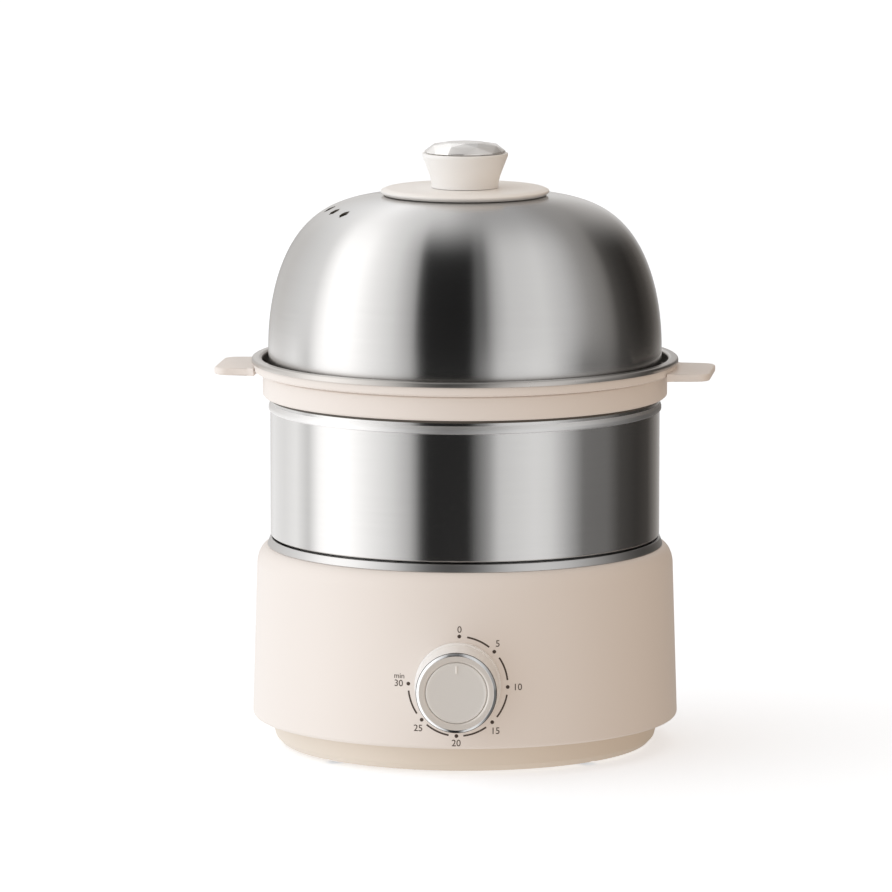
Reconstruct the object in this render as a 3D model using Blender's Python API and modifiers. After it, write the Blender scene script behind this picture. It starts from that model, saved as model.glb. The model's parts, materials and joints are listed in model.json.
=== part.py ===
"""Two-layer egg cooker: a heated base with a clockwork timer, a steaming pot, two egg racks and a domed lid.

Metres, +Z up. The origin is on the vertical axis, on the surface that the feet stand on, and the timer
knob faces -Y. Every round part is turned about the vertical axis, except the timer's, about a level one.
"""

import math

import bmesh
import bpy
from mathutils import Matrix, Vector

# Fineness of the turned parts
LARGE_SIDES = 32
MEDIUM_SIDES = 16
SMALL_SIDES = 8
GAP = 0.0003  # clearance between neighbouring parts

# Base
COVER_BOTTOM_Z = 0.0012
COVER_TOP_Z = 0.0119
COVER_TOP_R = 0.0823
COVER_BOTTOM_R = 0.0795
COVER_WALL = 0.002
HOUSING_BOTTOM_Z = 0.0124
HOUSING_TOP_Z = 0.0852
HOUSING_BOTTOM_R = 0.0900
HOUSING_SHOULDER_R = 0.0880
HOUSING_SHOULDER_Z = 0.0767
SHOULDER_WIDTH = 0.0055
HOUSING_WALL = 0.0024
HOUSING_OPENING_R = 0.0827
LIP_INNER_R = 0.0720
LIP_THICKNESS = 0.0022
FOOT_R = 0.0060
FOOT_CIRCLE_R = 0.0600
SCREW_CIRCLE_R = 0.0745
POST_R = 0.0045
POST_TOP_Z = 0.0260
TALL_POST_TOP_Z = 0.0477

# Heating pan and what hangs under it
PAN_R = 0.0824
PAN_WALL = 0.0010
PAN_FLOOR_Z = 0.0700
PAN_RIM_Z = 0.0884
ELEMENT_R = 0.0380
ELEMENT_TUBE_R = 0.0032
ELEMENT_Z = 0.0636
ELEMENT_GAP_ANGLE = math.radians(25)
PIN_R = 0.0012
SHIELD_R = 0.0540
SHIELD_Z = 0.0520

# Timer and its knob, on a level axis at the front
TIMER_Z = 0.0392
SHAFT_R = 0.0030
SEAT_R = 0.0178
SEAT_FRONT = 0.0914
KNOB_BACK_R = 0.0174
KNOB_FRONT_R = 0.0168
KNOB_FRONT = 0.1074
TIMER_SCREW_X = 0.0180
TIMER_PLATE_FRONT = 0.0826

# Cord gland at the rear
GLAND_Z = 0.0240
GLAND_R = 0.0050

# Steaming pot
POT_R = 0.0822
POT_WALL = 0.0008
POT_BOTTOM_Z = 0.0889
POT_SKIRT_R = 0.0795
POT_FLOOR_Z = 0.0850
BEAD_TOP_Z = 0.1459
BEAD_BOTTOM_Z = 0.1425
BEAD_DEPTH = 0.0007
RIM_OUTER_R = 0.0900
RIM_INNER_R = 0.0855
RIM_BOTTOM_Z = 0.1623
RIM_TOP_Z = 0.1649
LEDGE_Z = 0.1587  # where the wall steps out to the rim that the lid drops into
STEAM_HOLE_R = 0.0019

# Handle ring round the pot
RING_BOTTOM_Z = 0.1484
RING_BAND_R = 0.0853
RING_FLANGE_R = 0.0891
RING_FLANGE_Z = 0.1583
EAR_TIP_X = 0.1048
EAR_WIDTH = 0.0400
EAR_TOP_Z = 0.1608
EAR_THICKNESS = 0.0032
EAR_TURN = math.radians(-4.4)  # the pot stands a little turned on the base

# Egg racks
RACK_R = 0.0806
RACK_WALL = 0.0016
LOWER_RACK_Z = 0.0970
UPPER_RACK_Z = 0.1500
EGG_COUNT = 7
EGG_HOLE_R = 0.0170
EGG_CIRCLE_R = 0.0540
POST_STEM_R = 0.0040
GRIP_R = 0.0080

# Lid
DOME_R = 0.08296
DOME_BOTTOM_Z = 0.1597
DOME_WAIST_Z = 0.16954
DOME_HEIGHT = 0.0640
DOME_ROUNDNESS_R = 4.741
DOME_ROUNDNESS_Z = 1.970
DOME_WALL = 0.0008
VENT_R = 0.0020
VENT_CIRCLE_R = 0.0571
VENT_ANGLES = [math.radians(angle) for angle in (188, 199, 210)]
DISC_R = 0.0355
DISC_TOP_Z = 0.2364
LID_KNOB_FOOT_R = 0.0141
LID_KNOB_R = 0.0181
LID_KNOB_RIM_Z = 0.2509
LID_CAP_TOP_Z = 0.2553
LID_CAP_FLAT_R = 0.0076
LID_SCREW_R = 0.0020

# Colour, roughness and metallic value of each material
MATERIALS = {
    "cream_plastic": ((0.80, 0.72, 0.63), 0.45, 0.0),
    "tan_plastic": ((0.66, 0.57, 0.47), 0.50, 0.0),
    "brushed_steel": ((0.62, 0.61, 0.59), 0.30, 1.0),
    "polished_steel": ((0.80, 0.79, 0.77), 0.12, 1.0),
    "chrome": ((0.85, 0.85, 0.85), 0.06, 1.0),
    "champagne_metal": ((0.78, 0.74, 0.69), 0.28, 1.0),
    "cast_aluminium": ((0.60, 0.60, 0.61), 0.55, 1.0),
    "zinc_steel": ((0.55, 0.56, 0.57), 0.40, 1.0),
    "dark_plastic": ((0.04, 0.04, 0.045), 0.55, 0.0),
    "white_silicone": ((0.85, 0.84, 0.80), 0.60, 0.0),
    "grey_rubber": ((0.20, 0.20, 0.20), 0.80, 0.0),
    "brass": ((0.75, 0.58, 0.28), 0.35, 1.0),
    "red_wire": ((0.50, 0.05, 0.04), 0.50, 0.0),
}


def clear_scene():
    for obj in list(bpy.data.objects):
        bpy.data.objects.remove(obj, do_unlink=True)


def new_collection(name):
    collection = bpy.data.collections.new(name)
    bpy.context.scene.collection.children.link(collection)
    return collection


clear_scene()
PARTS = new_collection("egg_cooker")
CUTTERS = new_collection("cutters")
BASE_FRAME = bpy.data.objects.new("base_frame", None)
TIMER_FRAME = bpy.data.objects.new("timer_frame", None)
for frame in (BASE_FRAME, TIMER_FRAME):
    PARTS.objects.link(frame)
# The timer's parts are turned about local Z, which points out of the front along -Y.
TIMER_FRAME.matrix_world = Matrix.Translation((0, 0, TIMER_Z)) @ Matrix.Rotation(math.radians(90), 4, "X")


def make_material(name):
    colour, roughness, metallic = MATERIALS[name]
    material = bpy.data.materials.new(name)
    material.use_nodes = True
    shader = material.node_tree.nodes["Principled BSDF"]
    shader.inputs["Base Color"].default_value = (*colour, 1.0)
    shader.inputs["Roughness"].default_value = roughness
    shader.inputs["Metallic"].default_value = metallic
    return material


def add(name, mesh, material, parent=BASE_FRAME):
    """Links a part, or a cutter where material is None, to its collection."""
    obj = bpy.data.objects.new(name, mesh)
    obj.parent = parent
    if material is None:
        CUTTERS.objects.link(obj)
        obj.hide_render = True
        obj.display_type = "WIRE"
        return obj
    PARTS.objects.link(obj)
    mesh.materials.append(bpy.data.materials.get(material) or make_material(material))
    return obj


def turned(name, profile, material, sides=LARGE_SIDES, closed=True, parent=BASE_FRAME, centre=(0, 0, 0)):
    """Turns a profile of (radius, height) points, which runs down its outer side, about local Z."""
    mesh = bpy.data.meshes.new(name)
    edges = [(i, i + 1) for i in range(len(profile) - 1)]
    if closed:
        edges.append((len(profile) - 1, 0))
    mesh.from_pydata([(radius, 0, height) for radius, height in profile], edges, [])
    obj = add(name, mesh, material, parent)
    obj.location = centre
    screw = obj.modifiers.new("turn", "SCREW")
    screw.steps = sides
    screw.render_steps = sides
    screw.use_merge_vertices = True
    screw.merge_threshold = 0.00001
    screw.use_smooth_shade = True
    return obj


def solid_turned(name, profile, material, sides=MEDIUM_SIDES, parent=BASE_FRAME, centre=(0, 0, 0)):
    """A turned solid whose profile starts and ends on the axis."""
    return turned(name, profile, material, sides, False, parent, centre)


def disc(name, radius, bottom, top, material, sides=MEDIUM_SIDES, parent=BASE_FRAME, centre=(0, 0)):
    """An upright cylinder between two heights."""
    mesh = bpy.data.meshes.new(name)
    shape = bmesh.new()
    bmesh.ops.create_cone(
        shape, cap_ends=True, segments=sides, radius1=radius, radius2=radius, depth=top - bottom
    )
    bmesh.ops.translate(shape, vec=(0, 0, (top + bottom) / 2), verts=shape.verts)
    shape.to_mesh(mesh)
    shape.free()
    obj = add(name, mesh, material, parent)
    obj.location = (centre[0], centre[1], 0)
    return obj


def block(name, low, high, material, bevel=0.0, parent=BASE_FRAME):
    """A box between two corners, with bevelled edges where a bevel width is given."""
    low, high = Vector(low), Vector(high)
    mesh = bpy.data.meshes.new(name)
    shape = bmesh.new()
    bmesh.ops.create_cube(shape, size=1.0)
    bmesh.ops.scale(shape, vec=high - low, verts=shape.verts)
    shape.to_mesh(mesh)
    shape.free()
    obj = add(name, mesh, material, parent)
    obj.location = (low + high) / 2
    if bevel:
        rounding = obj.modifiers.new("edges", "BEVEL")
        rounding.width = bevel
        rounding.segments = 2
    return obj


def combine(obj, tool, operation="DIFFERENCE"):
    boolean = obj.modifiers.new(operation.lower(), "BOOLEAN")
    boolean.operation = operation
    boolean.object = tool
    return obj


def ring_of(count, radius, start=0.0):
    """Points spaced evenly on a circle about the vertical axis."""
    angles = [start + 2 * math.pi * i / count for i in range(count)]
    return [(radius * math.cos(a), radius * math.sin(a)) for a in angles]


def arc(centre, radius, start, end, count, height=None):
    """Points (radius, height) on an arc, with angles in degrees from the outward direction.

    With a height, the arc is part of an ellipse that is that tall from its centre."""
    rise = radius if height is None else height
    angles = [math.radians(start + (end - start) * i / (count - 1)) for i in range(count)]
    return [(centre[0] + radius * math.cos(a), centre[1] + rise * math.sin(a)) for a in angles]


def smooth_route(corners, per_span=3):
    """A Catmull-Rom curve through the corners."""
    points = [Vector(c) for c in corners]
    points = [2 * points[0] - points[1], *points, 2 * points[-1] - points[-2]]
    route = []
    for a, b, c, d in zip(points, points[1:], points[2:], points[3:]):
        for i in range(per_span):
            t = i / per_span
            linear, square, cube = c - a, 2 * a - 5 * b + 4 * c - d, 3 * b - a - 3 * c + d
            route.append(b + 0.5 * (linear * t + square * t**2 + cube * t**3))
    return [*route, points[-2]]


def tube(name, route, radius, material):
    """A round tube with filled ends along a route."""
    curve = bpy.data.curves.new(name, "CURVE")
    curve.dimensions = "3D"
    spline = curve.splines.new("POLY")
    spline.points.add(len(route) - 1)
    for point, place in zip(spline.points, route):
        point.co = (*place, 1.0)
    curve.bevel_depth = radius
    curve.bevel_resolution = 2
    curve.use_fill_caps = True
    return add(name, curve, material)


def screw_part(name, place, head_low, head_high, tip, material="zinc_steel", head_r=0.0032, shank_r=0.00105):
    """A pan-head screw on a vertical line; its tip is above or below its head."""
    shank_side, head_side = (head_high, head_low) if tip > head_high else (head_low, head_high)
    profile = [(0, tip), (shank_r * 0.6, tip), (shank_r, tip + (shank_side - tip) * 0.08)]
    profile += [(shank_r, shank_side), (head_r, shank_side), (head_r * 0.85, head_side), (0, head_side)]
    if tip < head_low:
        profile.reverse()
    return solid_turned(name, profile, material, SMALL_SIDES, centre=(*place, 0))


def housing_radius(height):
    """Outer radius of the housing's tapered wall."""
    share = (height - HOUSING_BOTTOM_Z) / (HOUSING_SHOULDER_Z - HOUSING_BOTTOM_Z)
    return HOUSING_BOTTOM_R + (HOUSING_SHOULDER_R - HOUSING_BOTTOM_R) * share


def make_housing():
    edge = 0.0014
    height = HOUSING_TOP_Z - HOUSING_SHOULDER_Z
    centre = (HOUSING_SHOULDER_R - SHOULDER_WIDTH, HOUSING_SHOULDER_Z)
    inner_width, inner_height = SHOULDER_WIDTH - HOUSING_WALL, height - HOUSING_WALL
    lip_top = HOUSING_BOTTOM_Z + LIP_THICKNESS
    profile = arc(centre, SHOULDER_WIDTH, 86, 0, 6, height)
    profile += [
        (housing_radius(HOUSING_BOTTOM_Z + edge), HOUSING_BOTTOM_Z + edge),
        (HOUSING_BOTTOM_R - edge, HOUSING_BOTTOM_Z),
        (LIP_INNER_R, HOUSING_BOTTOM_Z),
        (LIP_INNER_R, lip_top),
        (HOUSING_BOTTOM_R - HOUSING_WALL, lip_top),
    ]
    profile += arc(centre, inner_width, 0, 80, 3, inner_height)
    profile += [
        (HOUSING_OPENING_R, HOUSING_SHOULDER_Z + inner_height),
        (HOUSING_OPENING_R, HOUSING_TOP_Z),
    ]
    housing = turned("base_housing", profile, "cream_plastic")
    add_housing_posts(housing)
    gland_hole = disc("gland_hole_cutter", GLAND_R + GAP, 0.070, 0.100, None, MEDIUM_SIDES)
    gland_hole.rotation_euler = (math.radians(-90), 0, 0)
    gland_hole.location = (0, 0, GLAND_Z)
    combine(housing, gland_hole)
    combine(housing, disc("shaft_hole_cutter", 0.0045, 0.070, 0.100, None, parent=TIMER_FRAME))
    return housing


def add_housing_posts(housing):
    """Screw posts on the lip, bosses for the timer's screws, and their pilot holes."""
    pilot_r = 0.00135
    low = HOUSING_BOTTOM_Z + 0.001
    posts = [(place, POST_TOP_Z) for place in ring_of(4, SCREW_CIRCLE_R, math.radians(45))]
    posts += [(place, TALL_POST_TOP_Z) for place in ring_of(2, SCREW_CIRCLE_R)]
    posts += [((x, 0.0755), GLAND_Z + 0.0035) for x in (-0.009, 0.009)]
    for number, (place, top) in enumerate(posts, 1):
        radius = POST_R if top != GLAND_Z + 0.0035 else 0.0032
        combine(housing, disc(f"post_{number}", radius, low, top, None, SMALL_SIDES, centre=place), "UNION")
    for number, (place, top) in enumerate(posts, 1):
        start, end = (0, top - 0.002) if number <= 4 else (low + 0.004, top + 0.001)
        combine(housing, disc(f"pilot_{number}", pilot_r, start, end, None, SMALL_SIDES, centre=place))
    for side in (-1, 1):
        place = (side * TIMER_SCREW_X, 0)
        shape = (None, SMALL_SIDES, TIMER_FRAME, place)
        boss = disc(f"timer_boss_{side + 2}", 0.003, TIMER_PLATE_FRONT + GAP, 0.0860, *shape)
        combine(housing, boss, "UNION")
        combine(housing, disc(f"timer_pilot_{side + 2}", pilot_r, 0.080, 0.0858, *shape))


def make_bottom_cover():
    edge = 0.0027
    profile = [
        (COVER_TOP_R, COVER_TOP_Z),
        (COVER_BOTTOM_R + 0.0007, COVER_BOTTOM_Z + edge),
        (COVER_BOTTOM_R - 0.0004, COVER_BOTTOM_Z + edge * 0.35),
        (COVER_BOTTOM_R - 0.0018, COVER_BOTTOM_Z),
        (0, COVER_BOTTOM_Z),
    ]
    inside = [
        (0, COVER_BOTTOM_Z + COVER_WALL),
        (COVER_BOTTOM_R - 0.0030, COVER_BOTTOM_Z + COVER_WALL),
        (COVER_TOP_R - COVER_WALL, COVER_TOP_Z),
    ]
    cover = solid_turned("bottom_cover", inside + profile, "tan_plastic", LARGE_SIDES)
    for number, place in enumerate(ring_of(4, SCREW_CIRCLE_R, math.radians(45)), 1):
        post = disc(f"cover_post_{number}", 0.0044, 0.002, COVER_TOP_Z, None, SMALL_SIDES, centre=place)
        combine(cover, post, "UNION")
        head = disc(f"head_pocket_{number}", 0.0036, 0, 0.0040, None, SMALL_SIDES, centre=place)
        hole = disc(f"screw_hole_{number}", 0.0019, 0, 0.020, None, SMALL_SIDES, centre=place)
        combine(combine(cover, head), hole)
    for number, place in enumerate(ring_of(4, FOOT_CIRCLE_R, math.radians(45)), 1):
        pocket = disc(f"foot_pocket_{number}", FOOT_R + GAP, 0, 0.0022, None, MEDIUM_SIDES, centre=place)
        combine(cover, pocket)
    slot_length, slot_width = 0.022, 0.0024
    for number, x in enumerate((-0.030, -0.024, -0.018, 0.018, 0.024, 0.030), 1):
        low = (x - slot_width / 2, -slot_length / 2, -0.001)
        high = (x + slot_width / 2, slot_length / 2, 0.006)
        combine(cover, block(f"vent_slot_{number}", low, high, None))


def make_feet_and_cover_screws():
    for number, place in enumerate(ring_of(4, FOOT_CIRCLE_R, math.radians(45)), 1):
        profile = [(0, 0.0019), (FOOT_R, 0.0019), (FOOT_R, 0.0006), (FOOT_R - 0.0006, 0), (0, 0)]
        solid_turned(f"foot_{number}", profile, "grey_rubber", centre=(*place, 0))
    for number, place in enumerate(ring_of(4, SCREW_CIRCLE_R, math.radians(45)), 1):
        screw_part(f"cover_screw_{number}", place, 0.0021, 0.0037, 0.0230)


def make_heating_pan():
    inner_r = PAN_R - PAN_WALL
    flange_r = PAN_R + 0.0011
    flange_z = HOUSING_TOP_Z + GAP
    floor_top = PAN_FLOOR_Z + PAN_WALL
    profile = [(0, floor_top), (0.0755, floor_top), (0.0792, 0.0726), (inner_r, 0.0765)]
    profile += [(inner_r, PAN_RIM_Z - 0.0006), (inner_r + 0.0005, PAN_RIM_Z), (PAN_R, PAN_RIM_Z - 0.0003)]
    profile += [(flange_r, flange_z + 0.0006), (flange_r, flange_z), (PAN_R, flange_z)]
    profile += [(PAN_R, 0.0760), (0.0800, 0.0717), (0.0760, PAN_FLOOR_Z), (0, PAN_FLOOR_Z)]
    solid_turned("heating_pan", profile, "polished_steel", LARGE_SIDES)
    seal_top, seal_bottom, seal_r = 0.0812, 0.0784, 0.0839
    seal = [(seal_r, seal_top), (seal_r, seal_bottom), (PAN_R + GAP, seal_bottom), (PAN_R + GAP, seal_top)]
    turned("pan_gasket", seal, "white_silicone")


def make_heater():
    plate_top = PAN_FLOOR_Z - GAP
    plate_bottom = ELEMENT_Z + ELEMENT_TUBE_R + GAP
    disc("heater_plate", 0.0520, plate_bottom, plate_top, "cast_aluminium", LARGE_SIDES)
    start = math.radians(90) + ELEMENT_GAP_ANGLE
    sweep = 2 * math.pi - 2 * ELEMENT_GAP_ANGLE
    angles = [start + sweep * i / 20 for i in range(21)]
    route = [(ELEMENT_R * math.cos(a), ELEMENT_R * math.sin(a), ELEMENT_Z) for a in angles]
    tube("heating_element", route, ELEMENT_TUBE_R, "zinc_steel")
    pin_inset = math.radians(4)
    for number, angle in enumerate((start + pin_inset, math.radians(90) - ELEMENT_GAP_ANGLE - pin_inset), 1):
        place = (ELEMENT_R * math.cos(angle), ELEMENT_R * math.sin(angle))
        top = ELEMENT_Z - ELEMENT_TUBE_R - GAP
        disc(f"element_pin_{number}", PIN_R, 0.0440, top, "brass", SMALL_SIDES, centre=place)
        PIN_PLACES.append(place)
    disc("thermostat", 0.0070, 0.0580, plate_bottom - GAP, "dark_plastic")
    block("thermostat_clip", (-0.014, -0.004, 0.0568), (0.014, 0.004, 0.0577), "zinc_steel")
    fuse = disc("thermal_fuse", 0.0020, -0.007, 0.007, "white_silicone", SMALL_SIDES)
    fuse.rotation_euler = (math.radians(90), 0, 0)
    fuse.location = (0.020, 0, plate_bottom - GAP - 0.0021)


def make_shield_and_bracket():
    sheet = 0.0008
    rim_z = SHIELD_Z + 0.006
    profile = [(0, SHIELD_Z + sheet), (SHIELD_R - sheet, SHIELD_Z + sheet), (SHIELD_R - sheet, rim_z)]
    profile += [(SHIELD_R, rim_z), (SHIELD_R, SHIELD_Z), (0, SHIELD_Z)]
    shield = solid_turned("heat_shield", profile, "zinc_steel", LARGE_SIDES)
    for number, place in enumerate(PIN_PLACES, 1):
        hole = disc(f"pin_hole_{number}", 0.0025, 0.050, 0.056, None, SMALL_SIDES, centre=place)
        combine(shield, hole)
    low = TALL_POST_TOP_Z + GAP
    bar = block("pan_bracket", (-0.0785, -0.008, low), (0.0785, 0.008, low + 0.0015), "zinc_steel")
    for number, place in enumerate(ring_of(2, SCREW_CIRCLE_R), 1):
        hole = disc(f"bracket_hole_{number}", 0.0019, 0.040, 0.060, None, SMALL_SIDES, centre=place)
        combine(bar, hole)
        screw_part(f"bracket_screw_{number}", place, low + 0.0018, low + 0.0034, 0.0340)


def make_timer_fixed_parts():
    """What stays still: mounting plate with its screws, movement case and bell."""
    plate_back = TIMER_PLATE_FRONT - 0.001
    plate = block(
        "timer_plate",
        (-0.0225, -0.016, plate_back),
        (0.0225, 0.016, TIMER_PLATE_FRONT),
        "zinc_steel",
        parent=TIMER_FRAME,
    )
    combine(plate, disc("plate_shaft_hole", 0.0040, 0.075, 0.090, None, parent=TIMER_FRAME))
    screw_head_front = plate_back - GAP
    for side in (-1, 1):
        place = (side * TIMER_SCREW_X, 0)
        hole = disc(f"plate_hole_{side + 2}", 0.0016, 0.075, 0.090, None, SMALL_SIDES, TIMER_FRAME, place)
        combine(plate, hole)
        shank = [(0, 0.0852), (0.00105, 0.0850), (0.00105, screw_head_front), (0.0028, screw_head_front)]
        head = [(0.0024, screw_head_front - 0.0015), (0, screw_head_front - 0.0015)]
        name = "timer_screw_1" if side < 0 else "timer_screw_2"
        solid_turned(name, shank + head, "zinc_steel", SMALL_SIDES, TIMER_FRAME, (*place, 0))
    case_front, case_back = plate_back - GAP, 0.0613
    half_width, half_height, wall = 0.0140, 0.0160, 0.0012
    case = block(
        "timer_case",
        (-half_width, -half_height, case_back),
        (half_width, half_height, case_front),
        "dark_plastic",
        parent=TIMER_FRAME,
    )
    hollow = block(
        "case_hollow",
        (-half_width + wall, -half_height + wall, case_back + wall),
        (half_width - wall, half_height - wall, case_front + 0.01),
        None,
        parent=TIMER_FRAME,
    )
    combine(case, hollow)
    bell = [(0, case_back - GAP), (0.0060, case_back - GAP), (0.0135, case_back - 0.0012)]
    bell += [(0.0150, case_back - 0.0050), (0.0142, case_back - 0.0050), (0.0130, case_back - 0.0018)]
    bell += [(0, case_back - 0.0012)]
    solid_turned("timer_bell", bell, "polished_steel", MEDIUM_SIDES, TIMER_FRAME)


def make_timer_moving_parts():
    """What the hand turns: shaft, spring drum, clip, and the knob with its trim ring and face."""
    shaft = [(0, 0.1040), (SHAFT_R - 0.0004, 0.1040), (SHAFT_R, 0.1036), (SHAFT_R, 0.0640), (0, 0.0640)]
    solid_turned("timer_shaft", shaft, "zinc_steel", MEDIUM_SIDES, TIMER_FRAME)
    bore = SHAFT_R + GAP
    drum = [(0.0115, 0.0775), (0.0115, 0.0665), (bore, 0.0665), (bore, 0.0775)]
    turned("timer_drum", drum, "brass", MEDIUM_SIDES, parent=TIMER_FRAME)
    clip = [(0.0052, 0.0804), (0.0052, 0.0797), (bore, 0.0797), (bore, 0.0804)]
    turned("shaft_clip", clip, "zinc_steel", MEDIUM_SIDES, parent=TIMER_FRAME)
    back = SEAT_FRONT + GAP
    inside_front = KNOB_FRONT - 0.0022
    skin = 0.0020
    knob = [(0, KNOB_FRONT), (KNOB_FRONT_R - 0.0003, KNOB_FRONT), (KNOB_FRONT_R, KNOB_FRONT - 0.0004)]
    knob += [(KNOB_BACK_R, back + 0.0006), (KNOB_BACK_R - 0.0005, back), (KNOB_BACK_R - skin, back)]
    knob += [(KNOB_FRONT_R - skin, inside_front), (0.0056, inside_front), (0.0056, back + 0.001)]
    knob += [(bore, back + 0.001), (bore, 0.1040 + GAP), (0, 0.1040 + GAP)]
    solid_turned("knob_body", knob, "cream_plastic", 24, TIMER_FRAME)
    low = KNOB_FRONT + GAP
    face_r = 0.0126
    ring = [(KNOB_FRONT_R - 0.0012, low + 0.0013), (KNOB_FRONT_R - 0.0002, low + 0.0005)]
    ring += [(KNOB_FRONT_R - 0.0002, low), (face_r + GAP, low), (face_r + GAP, low + 0.0009)]
    ring += [(face_r + GAP + 0.0010, low + 0.0014)]
    turned("knob_trim_ring", ring, "chrome", 24, parent=TIMER_FRAME)
    face = [(0, low + 0.0008), (face_r - 0.0003, low + 0.0008), (face_r, low + 0.0005)]
    face += [(face_r, low), (0, low)]
    solid_turned("knob_face", face, "champagne_metal", 24, TIMER_FRAME)


def make_knob_seat():
    """A collar whose back follows the housing's round wall."""
    seat = [(SEAT_R - 0.0006, SEAT_FRONT), (SEAT_R, SEAT_FRONT - 0.0006), (SEAT_R, 0.0840)]
    seat += [(0.0060, 0.0840), (0.0060, SEAT_FRONT)]
    collar = turned("knob_seat", seat, "cream_plastic", 24, parent=TIMER_FRAME)
    low_z, high_z = HOUSING_BOTTOM_Z, HOUSING_SHOULDER_Z
    wall = [(0, high_z), (housing_radius(high_z) + GAP, high_z)]
    wall += [(housing_radius(low_z) + GAP, low_z), (0, low_z)]
    combine(collar, solid_turned("wall_cutter", wall, None, LARGE_SIDES))


def make_rear_parts():
    """Cord gland with its nut, cord clamp and terminal block."""
    rear = bpy.data.objects.new("rear_frame", None)
    PARTS.objects.link(rear)
    rear.matrix_world = Matrix.Translation((0, 0, GLAND_Z)) @ Matrix.Rotation(math.radians(-90), 4, "X")
    flange_back = 0.0901
    gland = [(0.0060, flange_back + 0.0026), (0.0075, flange_back + 0.0016), (0.0075, flange_back)]
    gland += [(GLAND_R, flange_back), (GLAND_R, 0.0815), (0.0035, 0.0815), (0.0035, flange_back + 0.0026)]
    turned("cord_gland", gland, "dark_plastic", MEDIUM_SIDES, parent=rear)
    nut = [(0.0080, 0.0860), (0.0080, 0.0825), (GLAND_R + GAP, 0.0825), (GLAND_R + GAP, 0.0860)]
    turned("gland_nut", nut, "dark_plastic", 6 * 2, parent=rear)
    low = GLAND_Z + 0.0035 + GAP
    clamp = block("cord_clamp", (-0.0125, 0.0715, low), (0.0125, 0.0795, low + 0.003), "dark_plastic")
    for number, x in enumerate((-0.009, 0.009), 1):
        place = (x, 0.0755)
        combine(clamp, disc(f"clamp_hole_{number}", 0.0019, 0.02, 0.04, None, SMALL_SIDES, centre=place))
        screw_part(f"clamp_screw_{number}", place, low + 0.0033, low + 0.0048, 0.0200, head_r=0.0029)
    block("terminal_block", (-0.012, 0.040, 0.0035), (0.012, 0.054, 0.0155), "white_silicone", 0.0008)


def make_leads():
    lead_r = 0.0011
    timer_end = 0.0229
    left_pin, right_pin = PIN_PLACES
    pin_end = 0.0440 - GAP
    block_to_timer = [(-0.006, 0.0397, 0.0095), (-0.006, 0.020, 0.0080), (-0.006, -0.040, 0.0080)]
    block_to_timer += [(-0.006, -0.066, 0.0120), (-0.006, -0.070, timer_end)]
    timer_to_element = [(0.006, -0.070, timer_end), (0.010, -0.064, 0.0130), (0.034, -0.030, 0.0120)]
    timer_to_element += [(0.034, 0.012, 0.0200), (*right_pin, 0.0350), (*right_pin, pin_end)]
    block_to_element = [(-0.006, 0.047, 0.0158), (-0.007, 0.047, 0.0230), (-0.014, 0.040, 0.0320)]
    block_to_element += [(*left_pin, 0.0380), (*left_pin, pin_end)]
    for number, route in enumerate((block_to_timer, timer_to_element, block_to_element), 1):
        tube(f"lead_{number}", smooth_route(route), lead_r, "red_wire")


def make_pot():
    inner_r = POT_R - POT_WALL
    skirt_in = POT_SKIRT_R - POT_WALL
    floor_top = POT_FLOOR_Z + POT_WALL
    profile = [(0, floor_top), (skirt_in, floor_top), (skirt_in, POT_BOTTOM_Z + POT_WALL)]
    profile += [(inner_r, POT_BOTTOM_Z + 0.0016), (inner_r, LEDGE_Z + 0.0004)]
    profile += [(RIM_INNER_R, LEDGE_Z + 0.0012)]
    profile += arc((RIM_INNER_R + 0.0016, RIM_TOP_Z - 0.0012), 0.0012, 180, 90, 2)
    profile += arc((RIM_OUTER_R - 0.0016, RIM_TOP_Z - 0.0016), 0.0016, 90, 0, 3)
    profile += [(RIM_OUTER_R - 0.0016, RIM_BOTTOM_Z), (RIM_INNER_R + POT_WALL, RIM_BOTTOM_Z)]
    profile += [(RIM_INNER_R + POT_WALL, LEDGE_Z + 0.0004), (POT_R, LEDGE_Z - 0.0004)]
    profile += [(POT_R, BEAD_TOP_Z), (POT_R + BEAD_DEPTH, BEAD_BOTTOM_Z + 0.0005)]
    profile += [(POT_R, BEAD_BOTTOM_Z)]
    profile += [(POT_R, POT_BOTTOM_Z + 0.0012), (POT_R - 0.0010, POT_BOTTOM_Z)]
    profile += [(POT_SKIRT_R, POT_BOTTOM_Z), (POT_SKIRT_R, POT_FLOOR_Z), (0, POT_FLOOR_Z)]
    pot = solid_turned("pot_wall", profile, "brushed_steel", LARGE_SIDES)
    holes = ring_of(6, 0.028, math.radians(4)) + ring_of(12, 0.058, math.radians(2))
    for number, place in enumerate(holes, 1):
        cutter = disc(f"steam_hole_{number}", STEAM_HOLE_R, 0.080, 0.090, None, 8, centre=place)
        combine(pot, cutter)


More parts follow.
